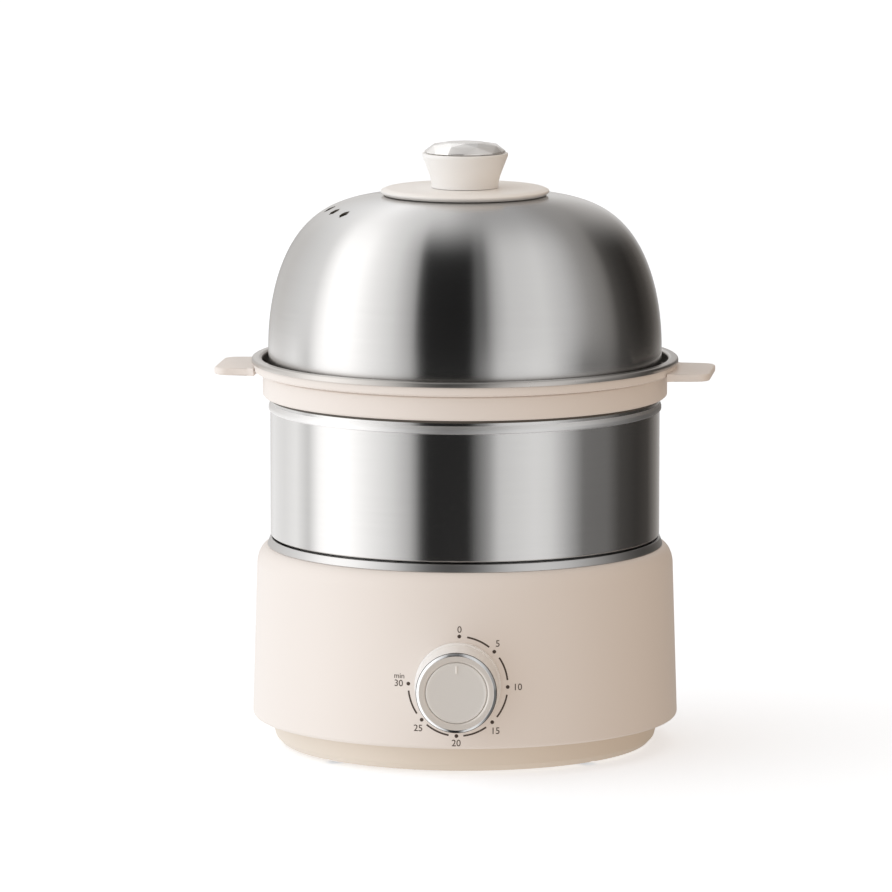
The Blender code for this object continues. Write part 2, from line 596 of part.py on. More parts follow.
def make_handle_ring():
    top = RIM_BOTTOM_Z - GAP
    bore = POT_R + GAP
    neck = RIM_INNER_R + POT_WALL + GAP
    chamfer = 0.0008
    profile = [(RING_FLANGE_R - 0.0004, top), (RING_FLANGE_R, top - 0.0005)]
    profile += [(RING_FLANGE_R, RING_FLANGE_Z + 0.0006), (RING_FLANGE_R - 0.0007, RING_FLANGE_Z)]
    profile += [(RING_BAND_R + 0.0012, RING_FLANGE_Z)]
    profile += [(RING_BAND_R, RING_FLANGE_Z - 0.0009), (RING_BAND_R, RING_BOTTOM_Z + chamfer)]
    profile += [(RING_BAND_R - chamfer, RING_BOTTOM_Z), (bore, RING_BOTTOM_Z)]
    profile += [(bore, LEDGE_Z - 0.0009), (neck, LEDGE_Z - 0.0001), (neck, top)]
    ring = turned("handle_ring", profile, "cream_plastic")
    inner_x = RING_FLANGE_R - 0.0019
    corner = 0.0060
    for side in (-1, 1):
        low = Vector((inner_x, -EAR_WIDTH / 2, EAR_TOP_Z - EAR_THICKNESS))
        high = Vector((EAR_TIP_X, EAR_WIDTH / 2, EAR_TOP_Z))
        ear = block(f"ear_{side + 2}", low, high, None)
        rounding = ear.modifiers.new("corners", "BEVEL")
        rounding.width = corner
        rounding.segments = 4
        rounding.limit_method = "WEIGHT"
        weights = ear.data.attributes.new("bevel_weight_edge", "FLOAT", "EDGE")
        for edge in ear.data.edges:
            ends = [ear.data.vertices[i].co for i in edge.vertices]
            upright = abs(ends[0].z - ends[1].z) > EAR_THICKNESS / 2
            weights.data[edge.index].value = 1.0 if upright and ends[0].x > 0 else 0.0
        turn = EAR_TURN if side > 0 else EAR_TURN + math.pi
        centre = (low + high) / 2
        ear.matrix_world = Matrix.Rotation(turn, 4, "Z") @ Matrix.Translation(centre)
        combine(ring, ear, "UNION")


def make_rack(name, top, post_foot):
    """A rack plate with a turned-down rim and a ring of egg holes; its post is a separate part."""
    bottom = top - RACK_WALL
    rim_bottom = POT_BOTTOM_Z + 0.0016 + GAP if name == "lower_rack" else top - 0.0036
    profile = [(RACK_R - 0.0006, top), (RACK_R, top - 0.0006), (RACK_R, rim_bottom)]
    profile += [(RACK_R - 0.0014, rim_bottom), (RACK_R - 0.0014, bottom)]
    profile += [(post_foot, bottom), (post_foot, top)]
    rack = turned(name, profile, "polished_steel", MEDIUM_SIDES)
    for number, place in enumerate(ring_of(EGG_COUNT, EGG_CIRCLE_R, math.radians(90)), 1):
        hole = disc(f"{name}_egg_{number}", EGG_HOLE_R, bottom - 0.002, top + 0.002, None, 16, centre=place)
        combine(rack, hole)


def make_rack_post(name, rack_top, top, socket):
    """A lifting post clipped through its rack, with a grip; a socket under it fits the post below."""
    bottom = rack_top - RACK_WALL
    grip = rack_top + 0.032
    neck = 0.0048
    profile = [(0, top), (POST_STEM_R - 0.0006, top), (POST_STEM_R, top - 0.0008)]
    profile += [(POST_STEM_R, grip + 0.009), (GRIP_R - 0.0015, grip + 0.0075), (GRIP_R, grip + 0.005)]
    profile += [(GRIP_R, grip), (GRIP_R - 0.0015, grip - 0.0025), (neck, grip - 0.006)]
    profile += [(neck + 0.0010, rack_top + 0.003), (0.0110, rack_top + 0.0012), (0.0110, rack_top + GAP)]
    profile += [(0.0072, rack_top + GAP), (0.0072, bottom - GAP), (0.0092, bottom - GAP)]
    profile += [(0.0092, bottom - 0.0020), (0.0052, bottom - 0.0036)]
    if socket:
        profile += [(0.0045, bottom - 0.0036), (0.0045, rack_top - GAP), (0, rack_top - GAP)]
    else:
        profile += [(0, bottom - 0.0036)]
    solid_turned(name, profile, "cream_plastic")


def make_racks():
    post_hole = 0.0075
    make_rack("lower_rack", LOWER_RACK_Z, post_hole)
    make_rack_post("lower_post", LOWER_RACK_Z, UPPER_RACK_Z - 2 * GAP, False)
    make_rack("upper_rack", UPPER_RACK_Z, post_hole)
    make_rack_post("upper_post", UPPER_RACK_Z, UPPER_RACK_Z + 0.0440, True)


def dome_point(angle):
    """A point of the dome's outer curve, a rounded superellipse: 0 is its waist and 90 degrees its top."""
    radius = DOME_R * math.cos(angle) ** (2 / DOME_ROUNDNESS_R)
    height = DOME_WAIST_Z + DOME_HEIGHT * math.sin(angle) ** (2 / DOME_ROUNDNESS_Z)
    return radius, height


def make_dome():
    hole_r = LID_SCREW_R + GAP
    hole_angle = math.acos((hole_r / DOME_R) ** (DOME_ROUNDNESS_R / 2))
    crown_angle = math.acos((DISC_R / DOME_R) ** (DOME_ROUNDNESS_R / 2))
    curve = [dome_point(crown_angle * i / 8) for i in range(9)]
    profile = [(hole_r, dome_point(hole_angle)[1]), *reversed(curve), (DOME_R, DOME_BOTTOM_Z)]
    dome = turned("lid_dome", profile, "brushed_steel", closed=False)
    shell = dome.modifiers.new("sheet", "SOLIDIFY")
    shell.thickness = DOME_WALL
    shell.offset = -1
    shell.use_even_offset = True
    for number, angle in enumerate(VENT_ANGLES, 1):
        place = (VENT_CIRCLE_R * math.cos(angle), VENT_CIRCLE_R * math.sin(angle))
        combine(dome, disc(f"vent_{number}", VENT_R, 0.215, 0.240, None, SMALL_SIDES, centre=place))


def make_lid_fittings():
    crown = DOME_WAIST_Z + DOME_HEIGHT
    bore = LID_SCREW_R + GAP
    underside = crown + GAP
    profile = [(LID_KNOB_FOOT_R, DISC_TOP_Z), (DISC_R - 0.0030, DISC_TOP_Z - 0.0002)]
    profile += arc((DISC_R - 0.0016, DISC_TOP_Z - 0.0020), 0.0016, 70, -40, 4)
    profile += [(DISC_R - 0.0010, underside - 0.0004), (DISC_R - 0.0090, underside), (bore, underside)]
    profile += [(bore, DISC_TOP_Z)]
    turned("lid_disc", profile, "cream_plastic")
    foot = DISC_TOP_Z + GAP
    rim = LID_KNOB_RIM_Z
    knob = [(0, rim), (LID_KNOB_R - 0.0004, rim), (LID_KNOB_R, rim - 0.0006)]
    knob += [(LID_KNOB_R - 0.0006, rim - 0.0020), (0.0166, rim - 0.0050), (0.0150, rim - 0.0090)]
    knob += [(LID_KNOB_FOOT_R, foot + 0.0020)]
    knob += [(LID_KNOB_FOOT_R, foot), (bore, foot), (bore, rim - 0.0030), (0, rim - 0.0030)]
    solid_turned("lid_knob", knob, "cream_plastic", 24)
    base = rim + GAP
    cap = [(0, LID_CAP_TOP_Z), (LID_CAP_FLAT_R, LID_CAP_TOP_Z), (LID_KNOB_R - 0.0030, base + 0.0016)]
    cap += [(LID_KNOB_R - 0.0010, base + 0.0006), (LID_KNOB_R - 0.0010, base), (0, base)]
    solid_turned("lid_knob_cap", cap, "polished_steel", 16)
    inside = crown - DOME_WALL
    washer = [(0.0080, inside - GAP), (0.0080, inside - 0.0012)]
    washer += [(bore, inside - 0.0012), (bore, inside - GAP)]
    turned("lid_washer", washer, "white_silicone", MEDIUM_SIDES)
    head_top = inside - 0.0015
    tip = rim - 0.0034
    screw_part("lid_screw", (0, 0), inside - 0.0034, head_top, tip, head_r=0.0045, shank_r=LID_SCREW_R)


PIN_PLACES = []
make_housing()
make_bottom_cover()
make_feet_and_cover_screws()
make_heating_pan()
make_heater()
make_shield_and_bracket()
make_timer_fixed_parts()
make_timer_moving_parts()
make_knob_seat()
make_rear_parts()
make_leads()
make_pot()
make_handle_ring()
make_racks()
make_dome()
make_lid_fittings()
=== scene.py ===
"""Looks of the two-layer egg cooker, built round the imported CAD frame.

Metres, +Z up, and the timer faces -Y."""

import json
import math

import bmesh
import bpy
from mathutils import Matrix, Vector


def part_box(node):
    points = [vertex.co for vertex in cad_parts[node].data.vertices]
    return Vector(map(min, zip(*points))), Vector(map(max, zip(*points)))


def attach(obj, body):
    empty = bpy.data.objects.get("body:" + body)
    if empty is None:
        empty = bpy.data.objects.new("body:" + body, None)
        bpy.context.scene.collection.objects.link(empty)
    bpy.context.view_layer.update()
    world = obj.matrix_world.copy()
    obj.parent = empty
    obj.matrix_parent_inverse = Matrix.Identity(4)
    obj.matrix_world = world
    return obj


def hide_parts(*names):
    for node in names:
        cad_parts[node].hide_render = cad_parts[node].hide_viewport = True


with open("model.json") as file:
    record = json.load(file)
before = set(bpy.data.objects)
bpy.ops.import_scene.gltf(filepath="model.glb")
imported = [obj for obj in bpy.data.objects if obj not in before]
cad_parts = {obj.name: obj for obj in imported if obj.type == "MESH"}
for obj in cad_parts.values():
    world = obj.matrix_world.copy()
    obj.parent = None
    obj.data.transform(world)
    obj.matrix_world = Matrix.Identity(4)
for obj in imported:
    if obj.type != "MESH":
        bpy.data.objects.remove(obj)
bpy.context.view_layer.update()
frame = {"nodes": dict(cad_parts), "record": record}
NODES = frame["nodes"]

# Segments round a turned piece, from the widest pieces to the narrowest
FINE = 256
WIDE = 160
BROAD = 128
MEDIUM = 96
NARROW = 64
SMALL = 40
# Segments round the small holes
VENT_SIDES = 28
STEAM_HOLE_SIDES = 20
SLOT_SIDES = 16
ARC_STEP = math.radians(9)  # turn of a fillet between two of its points
SHARP_ANGLE = math.radians(32)
NEARLY_FLAT = math.radians(89.5)  # half of a corner's angle, past which it is left as it is
ON_AXIS = 1e-6

link = bpy.context.scene.collection.objects.link


# ---- sizes from the frame


def size_of(node):
    """(radius, lowest height, highest height) of an upright round CAD node."""
    low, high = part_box(node)
    return (high.y - low.y) / 2, low.z, high.z


def dial_size(node):
    """(radius, back, front) of a round CAD node on the timer's axis, measured towards the viewer."""
    low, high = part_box(node)
    return (high.x - low.x) / 2, -high.y, -low.y


def centre_of(node):
    low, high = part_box(node)
    return (low + high) / 2


TIMER_HEIGHT = centre_of("knob_face").z


# ---- camera

CAMERA_TURN = math.radians(1.9)
CAMERA_DISTANCE = 3.012
CAMERA_HEIGHT = 0.543
CAMERA_TILT = math.radians(8)
CAMERA_LENS = 290.4
CAMERA_SHIFT = (-0.0213, 0.0177)
SENSOR_WIDTH = 36
FAR_CLIP = 50


def make_camera():
    data = bpy.data.cameras.new("camera")
    camera = bpy.data.objects.new("camera", data)
    link(camera)
    data.sensor_width = SENSOR_WIDTH
    data.lens = CAMERA_LENS
    data.shift_x, data.shift_y = CAMERA_SHIFT
    data.clip_end = FAR_CLIP
    camera.location = (
        CAMERA_DISTANCE * math.sin(CAMERA_TURN),
        -CAMERA_DISTANCE * math.cos(CAMERA_TURN),
        CAMERA_HEIGHT,
    )
    camera.rotation_euler = (math.radians(90) - CAMERA_TILT, 0, CAMERA_TURN)
    bpy.context.scene.camera = camera


# ---- node helpers


class Nodes:
    """A short way to build a node tree."""

    def __init__(self, tree):
        self.tree = tree

    def add(self, kind, settings=None, **inputs):
        node = self.tree.nodes.new(kind)
        for name, value in (settings or {}).items():
            setattr(node, name, value)
        for name, value in inputs.items():
            self.put(node, name.replace("_", " "), value)
        return node

    def put(self, node, socket, value):
        """Sets an input, or links it where the value is another node's output."""
        target = node.inputs[socket]
        if isinstance(value, bpy.types.NodeSocket):
            self.tree.links.new(value, target)
        else:
            target.default_value = value

    def math(self, operation, first, second=0.0):
        node = self.add("ShaderNodeMath", {"operation": operation})
        self.put(node, 0, first)
        self.put(node, 1, second)
        return node.outputs[0]

    def ramp(self, factor, stops):
        """A ramp of (place, colour) stops."""
        node = self.add("ShaderNodeValToRGB")
        elements = node.color_ramp.elements
        while len(elements) < len(stops):
            elements.new(0.5)
        for element, (place, colour) in zip(elements, stops):
            element.position = place
            element.color = (*colour, 1.0)
        self.put(node, "Fac", factor)
        return node.outputs["Color"]

    def noise(self, vector, scale, detail, roughness=0.5):
        settings = {"Vector": vector, "Scale": scale, "Detail": detail, "Roughness": roughness}
        return self.add("ShaderNodeTexNoise", **settings).outputs["Fac"]

    def between(self, factor, low, high):
        """Maps 0..1 to low..high."""
        return self.math("ADD", self.math("MULTIPLY", factor, high - low), low)


def new_material(name):
    material = bpy.data.materials.new(name)
    material.use_nodes = True
    tree = material.node_tree
    return material, Nodes(tree), tree.nodes["Principled BSDF"]


def mixed(nodes, factor, first, second):
    """A colour between two others."""
    node = nodes.add("ShaderNodeMix", {"data_type": "RGBA"})
    nodes.put(node, 0, factor)
    for socket, value in ((6, first), (7, second)):
        nodes.put(node, socket, value if isinstance(value, bpy.types.NodeSocket) else (*value, 1.0))
    return node.outputs[2]


def bumped(nodes, shader, height, distance, strength):
    bump = nodes.add("ShaderNodeBump", Strength=strength, Distance=distance, Height=height)
    nodes.put(shader, "Normal", bump.outputs["Normal"])


def object_point(nodes):
    return nodes.add("ShaderNodeTexCoord").outputs["Object"]


def separated(nodes, vector):
    node = nodes.add("ShaderNodeSeparateXYZ")
    nodes.put(node, 0, vector)
    return node.outputs[0], node.outputs[1], node.outputs[2]


def shaded(colour, share):
    """A colour made darker or lighter by a share of itself."""
    return tuple(min(1.0, c * share) for c in colour)


def blended(nodes, first, share, second):
    """Two patterns mixed, with a share of the first."""
    return nodes.math("ADD", nodes.math("MULTIPLY", first, share), nodes.math("MULTIPLY", second, 1 - share))


# ---- materials


def moulded_plastic(name, colour, roughness):
    """Injection-moulded plastic: fine spark-eroded grain, faint tone drift, slight sheen changes."""
    speckle, grain = 0.04, 0.000012
    material, nodes, shader = new_material(name)
    place = object_point(nodes)
    drift = nodes.noise(place, 9.0, 2.0)
    fine = nodes.noise(place, 2600.0, 2.0)
    darker, lighter = shaded(colour, 1 - speckle), shaded(colour, 1 + speckle * 0.5)
    nodes.put(shader, "Base Color", mixed(nodes, drift, darker, lighter))
    smear = nodes.noise(place, 38.0, 3.0)
    nodes.put(shader, "Roughness", nodes.between(smear, roughness - 0.05, roughness + 0.05))
    nodes.put(shader, "IOR", 1.49)
    bumped(nodes, shader, fine, grain, 0.35)
    return material


def turned_place(nodes, streak, pitch, axis="Z"):
    """A texture place whose pattern runs round an axis: long along the turn, short across it."""
    x, y, z = separated(nodes, object_point(nodes))
    if axis == "Y":
        x, y, z = x, nodes.math("SUBTRACT", z, TIMER_HEIGHT), y
    squares = nodes.math("ADD", nodes.math("MULTIPLY", x, x), nodes.math("MULTIPLY", y, y))
    radius = nodes.math("SQRT", squares)
    safe = nodes.math("ADD", radius, 0.0005)
    across = nodes.math("SUBTRACT", z, radius)
    combine = nodes.add("ShaderNodeCombineXYZ")
    nodes.put(combine, 0, nodes.math("MULTIPLY", nodes.math("DIVIDE", x, safe), streak))
    nodes.put(combine, 1, nodes.math("MULTIPLY", nodes.math("DIVIDE", y, safe), streak))
    nodes.put(combine, 2, nodes.math("MULTIPLY", across, pitch))
    return combine.outputs[0]


def brushed_metal(name, colour, roughness, anisotropy, line_depth, axis="Z", tint=0.05, metallic=1.0):
    """Metal brushed round its axis: hair lines in tone, sheen and relief, with highlights across them."""
    material, nodes, shader = new_material(name)
    hair = nodes.noise(turned_place(nodes, 5.0, 5200.0, axis), 1.0, 3.0, 0.6)
    band = nodes.noise(turned_place(nodes, 1.6, 640.0, axis), 1.0, 3.0, 0.55)
    both = blended(nodes, hair, 0.55, band)
    nodes.put(shader, "Base Color", mixed(nodes, both, shaded(colour, 1 - tint), colour))
    nodes.put(shader, "Roughness", nodes.between(both, roughness * 0.85, roughness * 1.15))
    nodes.put(shader, "Metallic", metallic)
    nodes.put(shader, "Anisotropic", anisotropy)
    tangent = nodes.add("ShaderNodeTangent", {"direction_type": "RADIAL", "axis": axis})
    nodes.put(shader, "Tangent", tangent.outputs[0])
    nodes.put(shader, "Anisotropic Rotation", 0.25)
    bumped(nodes, shader, both, line_depth, 0.3)
    return material


def polished_metal(name, colour, roughness, metallic=1.0):
    """Smooth bright metal with faint handling marks in its sheen."""
    material, nodes, shader = new_material(name)
    place = object_point(nodes)
    cloud = nodes.noise(place, 60.0, 4.0, 0.6)
    fine = nodes.noise(place, 900.0, 3.0, 0.6)
    nodes.put(shader, "Base Color", mixed(nodes, cloud, shaded(colour, 0.95), colour))
    sheen = blended(nodes, cloud, 0.7, fine)
    nodes.put(shader, "Roughness", nodes.between(sheen, roughness * 0.65, roughness * 1.35))
    nodes.put(shader, "Metallic", metallic)
    bumped(nodes, shader, fine, 0.000004, 0.3)
    return material


def grained_metal(name, colour, roughness, depth):
    """Cast or plated metal with a fine pebbled skin."""
    material, nodes, shader = new_material(name)
    place = object_point(nodes)
    pebble = nodes.noise(place, 700.0, 4.0, 0.6)
    cloud = nodes.noise(place, 45.0, 3.0)
    nodes.put(shader, "Base Color", mixed(nodes, cloud, shaded(colour, 0.88), colour))
    nodes.put(shader, "Roughness", nodes.between(pebble, roughness - 0.08, roughness + 0.08))
    nodes.put(shader, "Metallic", 1.0)
    bumped(nodes, shader, pebble, depth, 0.6)
    return material


def soft_rubber(name, colour, roughness):
    """Rubber, silicone or ink with a powdery skin."""
    material, nodes, shader = new_material(name)
    place = object_point(nodes)
    powder = nodes.noise(place, 1500.0, 3.0)
    cloud = nodes.noise(place, 80.0, 3.0)
    nodes.put(shader, "Base Color", mixed(nodes, cloud, shaded(colour, 0.9), colour))
    nodes.put(shader, "Roughness", nodes.between(powder, roughness - 0.06, roughness + 0.06))
    nodes.put(shader, "IOR", 1.42)
    bumped(nodes, shader, powder, 0.00001, 0.5)
    return material


CREAM = moulded_plastic("cream_plastic", (0.85, 0.78, 0.725), 0.40)
TAN = moulded_plastic("tan_plastic", (0.78, 0.69, 0.59), 0.46)
LID_CREAM = moulded_plastic("lid_cream", (0.93, 0.895, 0.855), 0.36)
KNOB_CREAM = moulded_plastic("knob_cream", (0.93, 0.91, 0.885), 0.34)
GRIP = moulded_plastic("grip_plastic", (0.84, 0.79, 0.73), 0.42)
HAIR_LINE = 0.000002  # depth of the brushed lines
STEEL = brushed_metal("brushed_steel", (0.70, 0.69, 0.68), 0.19, 0.95, HAIR_LINE, tint=0.09)
# The bead: a rougher finish, with a colour much lighter than the wall's steel that paints a highlight on it
BEAD_HIGHLIGHT_STEEL = brushed_metal("bead_painted_highlight", (0.88, 0.87, 0.86), 0.42, 0.0, HAIR_LINE)
PAN_STEEL = brushed_metal("pan_steel", (0.70, 0.69, 0.68), 0.38, 0.5, HAIR_LINE)
# The rolled rim: a smoother polish, with a darker, browner colour than the wall's steel that paints its dark
# reflections
RIM_REFLECTION_STEEL = polished_metal("rim_painted_reflection", (0.62, 0.59, 0.56), 0.30)
# A dark copy of the steel that paints the shade inside the pot's neck, in the gap round the dome
NECK_SHADE_STEEL = polished_metal("neck_painted_shade", (0.20, 0.18, 0.16), 0.45)
CHROME = polished_metal("knob_chrome", (0.80, 0.80, 0.80), 0.10)
GEM = polished_metal("cap_metal", (0.93, 0.91, 0.89), 0.08, 0.65)
PEARL = brushed_metal("pearl_metal", (0.78, 0.735, 0.685), 0.42, 0.0, HAIR_LINE, "Y", 0.03, 0.25)
CHAMPAGNE = brushed_metal("champagne_metal", (0.87, 0.84, 0.80), 0.40, 0.0, 2 * HAIR_LINE, "Y", 0.04, 0.25)
CAST = grained_metal("cast_aluminium", (0.60, 0.60, 0.61), 0.50, 0.00005)
ZINC = grained_metal("zinc_steel", (0.58, 0.59, 0.60), 0.36, 0.00001)
BRASS = grained_metal("brass", (0.76, 0.59, 0.29), 0.34, 0.00001)
DARK = moulded_plastic("dark_plastic", (0.045, 0.045, 0.05), 0.5)
SILICONE = soft_rubber("white_silicone", (0.86, 0.84, 0.80), 0.55)
# A dark rubbery colour that paints shade: the gap round the knob's bezel, the vent hole walls and the line
# under the collar
PAINTED_SHADE = soft_rubber("painted_shade_dark", (0.10, 0.085, 0.07), 0.6)
RUBBER = soft_rubber("grey_rubber", (0.20, 0.20, 0.20), 0.75)
WIRE = soft_rubber("wire_jacket", (0.50, 0.05, 0.04), 0.45)
INK = soft_rubber("dial_ink", (0.075, 0.052, 0.040), 0.6)

SLOT_MATERIALS = {
    "cream_plastic": CREAM, "tan_plastic": TAN, "grip_plastic": GRIP,
    "brushed_steel": STEEL, "polished_steel": PAN_STEEL, "knob_chrome": CHROME,
    "cap_metal": GEM, "champagne_metal": CHAMPAGNE, "cast_aluminium": CAST,
    "zinc_steel": ZINC, "dark_plastic": DARK, "white_silicone": SILICONE,
    "grey_rubber": RUBBER, "brass": BRASS, "wire_jacket": WIRE,
}


def dress_cad_nodes():
    """Gives every CAD node that stays in view the procedural material of its slot."""
    for part in frame["record"]["subparts"]:
        node = NODES[part["node"]]
        node.data.materials.clear()
        node.data.materials.append(SLOT_MATERIALS[part["material_slot"]])


# ---- mesh helpers


def finish_piece(obj, body, replaced=()):
    """Hangs a piece on its body and the CAD nodes that it stands for."""
    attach(obj, body)
    if replaced:
        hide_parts(*replaced)
    return obj


def piece(name, shape, material):
    """A named object made from a bmesh, which it frees."""
    mesh = bpy.data.meshes.new(name)
    shape.to_mesh(mesh)
    shape.free()
    mesh.materials.append(material)
    obj = bpy.data.objects.new(name, mesh)
    link(obj)
    return obj


def add_shape(target, shape):
    """Adds one bmesh to another and frees it."""
    mesh = bpy.data.meshes.new("shape")
    shape.to_mesh(mesh)
    shape.free()
    target.from_mesh(mesh)
    bpy.data.meshes.remove(mesh)


def paint(obj, material, chosen):
    """Gives a material to the faces whose centre passes a test."""
    index = len(obj.data.materials)
    obj.data.materials.append(material)
    for face in obj.data.polygons:
        if chosen(face.center):
            face.material_index = index


def smooth(obj, angle=SHARP_ANGLE):
    obj.data.shade_smooth()
    obj.data.set_sharp_from_angle(angle=angle)
    return obj


def rounded(corners):
    """An outline with rounded corners, each given as (radius, height) or (radius, height, fillet)."""
    points = []
    count = len(corners)
    for i, corner in enumerate(corners):
        here = Vector(corner[:2])
        fillet = corner[2] if len(corner) > 2 else 0
        before = Vector(corners[i - 1][:2]) - here
        after = Vector(corners[(i + 1) % count][:2]) - here
        if not fillet or before.angle(after) / 2 > NEARLY_FLAT:
            points.append(here)
            continue
        half = before.angle(after) / 2
        reach = min(fillet / math.tan(half), before.length * 0.49, after.length * 0.49)
        radius = reach * math.tan(half)
        bisector = (before.normalized() + after.normalized()).normalized()
        centre = here + bisector * (radius / math.sin(half))
        start = here + before.normalized() * reach - centre
        sweep = math.pi - 2 * half
        turn = 1 if before.x * after.y - before.y * after.x < 0 else -1
        steps = max(2, math.ceil(sweep / ARC_STEP))
        for k in range(steps + 1):
            angle = turn * sweep * k / steps
            c, s = math.cos(angle), math.sin(angle)
            points.append(centre + Vector((start.x * c - start.y * s, start.x * s + start.y * c)))
    return [(p.x, p.y) for p in points]


def turned(name, outline, material, segments=FINE, axis="Z", centre=(0, 0, 0)):
    """A closed surface turned from an outline's corners, which run down its outer side.

    An outline that starts on the axis ends there too, and any other is a loop. The axis is Z, or -Y for the
    timer."""
    shape = bmesh.new()
    angles = [2 * math.pi * k / segments for k in range(segments)]
    rings = []
    for radius, height in rounded(outline):
        if radius < ON_AXIS:
            rings.append([shape.verts.new((0, 0, height))])
            continue
        ring = [(radius * math.cos(a), radius * math.sin(a), height) for a in angles]
        rings.append([shape.verts.new(point) for point in ring])
    pairs = list(zip(rings, rings[1:]))
    if len(rings[0]) > 1:
        pairs.append((rings[-1], rings[0]))
    for upper, lower in pairs:
        for k in range(segments):
            following = (k + 1) % segments
            if len(upper) == 1:
                shape.faces.new((upper[0], lower[k], lower[following]))
            elif len(lower) == 1:
                shape.faces.new((upper[k], lower[0], upper[following]))
            else:
                shape.faces.new((upper[k], lower[k], lower[following], upper[following]))
    if axis == "Y":
        turn = Matrix.Translation((0, 0, TIMER_HEIGHT)) @ Matrix.Rotation(math.radians(90), 4, "X")
        shape.transform(turn)
    shape.transform(Matrix.Translation(centre))
    return smooth(piece(name, shape, material))


def pillar(radius, low, high, place, segments):
    """A plain cylinder used to cut holes."""
    shape = bmesh.new()
    bmesh.ops.create_cone(
        shape, cap_ends=True, segments=segments, radius1=radius, radius2=radius, depth=high - low
    )
    bmesh.ops.translate(shape, vec=(place[0], place[1], (low + high) / 2), verts=shape.verts)
    return shape


def bevel(shape, edges, offset, segments, profile=0.5):
    """Rounds some edges of a bmesh."""
    sides = {"segments": segments, "profile": profile, "affect": "EDGES"}
    bmesh.ops.bevel(shape, geom=edges, offset=offset, clamp_overlap=True, **sides)


def cut(obj, shapes):
    """Cuts the shapes, which don't touch each other, out of a piece."""
    joined = bmesh.new()
    for shape in shapes:
        add_shape(joined, shape)
    mesh = bpy.data.meshes.new("cutter")
    joined.to_mesh(mesh)
    joined.free()
    cutter = bpy.data.objects.new("cutter", mesh)
    link(cutter)
    boolean = obj.modifiers.new("cut", "BOOLEAN")
    boolean.object = cutter
    boolean.solver = "EXACT"
    graph = bpy.context.evaluated_depsgraph_get()
    result = bpy.data.meshes.new_from_object(obj.evaluated_get(graph))
    obj.modifiers.clear()
    obj.data = result
    bpy.data.objects.remove(cutter)
    return smooth(obj)


def ring_of(count, radius, start=0.0):
    """Evenly spaced places on a circle about the axis."""
    angles = [start + 2 * math.pi * i / count for i in range(count)]
    return [(radius * math.cos(a), radius * math.sin(a)) for a in angles]


# ---- base

HOUSING_R, HOUSING_LOW, HOUSING_TOP = size_of("base_housing")
HOUSING_TOP_R = HOUSING_R - 0.00226  # the wall leans in towards the top
SHOULDER_DROP = 0.0085
SHOULDER_STEPS = 18
HOUSING_WALL = 0.0024
HOUSING_LIP = 0.0022
LIP_INNER_R = 0.0720
OPENING_R = 0.0827
CREST_R = OPENING_R + 0.0002
COVER_GROOVE_R = 0.0680
FOOT_HOLE_R, FOOT_HOLE_DEPTH = 0.0063, 0.0010
SCREW_HOLE_R, SCREW_HOLE_DEPTH = 0.0036, 0.0014
SLOT_HALF_WIDTH, SLOT_STRETCH = 0.0012, 0.0098
SLOT_PLACES = (-0.030, -0.024, -0.018, 0.018, 0.024, 0.030)
CUT_LOW, SLOT_TOP = -0.001, 0.006
PAN_SHEET = 0.0010
PAN_FLOOR_R = 0.0780
PAN_BOSS_R, PAN_BOSS_RISE = 0.020, 0.0012
PAN_BOSS_FOOT_R = 0.024
PAN_BEND = 0.004


def wall_radius(height):
    """The housing's outer radius at a height."""
    share = (height - HOUSING_LOW) / (HOUSING_TOP - HOUSING_LOW)
    return HOUSING_R + (HOUSING_TOP_R - HOUSING_R) * share


def make_housing():
    start = HOUSING_TOP - SHOULDER_DROP
    width = wall_radius(start) - CREST_R
    turns = [math.radians(90 - 90 * k / SHOULDER_STEPS) for k in range(SHOULDER_STEPS + 1)]
    shoulder = [(CREST_R + width * math.cos(a), start + SHOULDER_DROP * math.sin(a)) for a in turns]
    outline = [
        (OPENING_R, HOUSING_TOP - 0.0003),
        *shoulder,
        (HOUSING_R, HOUSING_LOW, 0.0017),
        (LIP_INNER_R, HOUSING_LOW, 0.0003),
        (LIP_INNER_R, HOUSING_LOW + HOUSING_LIP, 0.0003),
        (HOUSING_R - HOUSING_WALL, HOUSING_LOW + HOUSING_LIP, 0.001),
        (HOUSING_TOP_R - HOUSING_WALL, HOUSING_TOP - HOUSING_WALL, 0.002),
        (OPENING_R, HOUSING_TOP - HOUSING_WALL, 0.0003),
    ]
    finish_piece(turned("housing_shell", outline, CREAM), "base", ["base_housing"])


def make_cover():
    radius, low, top = size_of("bottom_cover")
    bottom_r = radius - 0.0046
    inside = low + 0.002
    outline = [
        (0, inside),
        (bottom_r, inside, 0.001),
        (radius - 0.002, top, 0.0004),
        (radius, top, 0.0004),
        (radius - 0.0021, low + 0.0027, 0.0020),
        (bottom_r, low, 0.0016),
        (COVER_GROOVE_R + 0.0005, low),
        (COVER_GROOVE_R, low + 0.0005, 0.0003),
        (COVER_GROOVE_R - 0.0008, low + 0.0005, 0.0003),
        (COVER_GROOVE_R - 0.0013, low),
        (0, low),
    ]
    cover = turned("cover_shell", outline, TAN)
    holes = []
    for number in range(1, 5):
        foot, screw = centre_of(f"foot_{number}"), centre_of(f"cover_screw_{number}")
        holes.append(pillar(FOOT_HOLE_R, CUT_LOW, low + FOOT_HOLE_DEPTH, foot, SMALL))
        holes.append(pillar(SCREW_HOLE_R, CUT_LOW, low + SCREW_HOLE_DEPTH, screw, SMALL))
    for x in SLOT_PLACES:
        slot = pillar(SLOT_HALF_WIDTH, CUT_LOW, SLOT_TOP, (x, 0), SLOT_SIDES)
        for vert in slot.verts:
            vert.co.y += math.copysign(SLOT_STRETCH, vert.co.y)
        holes.append(slot)
    finish_piece(cut(cover, holes), "base", ["bottom_cover"])


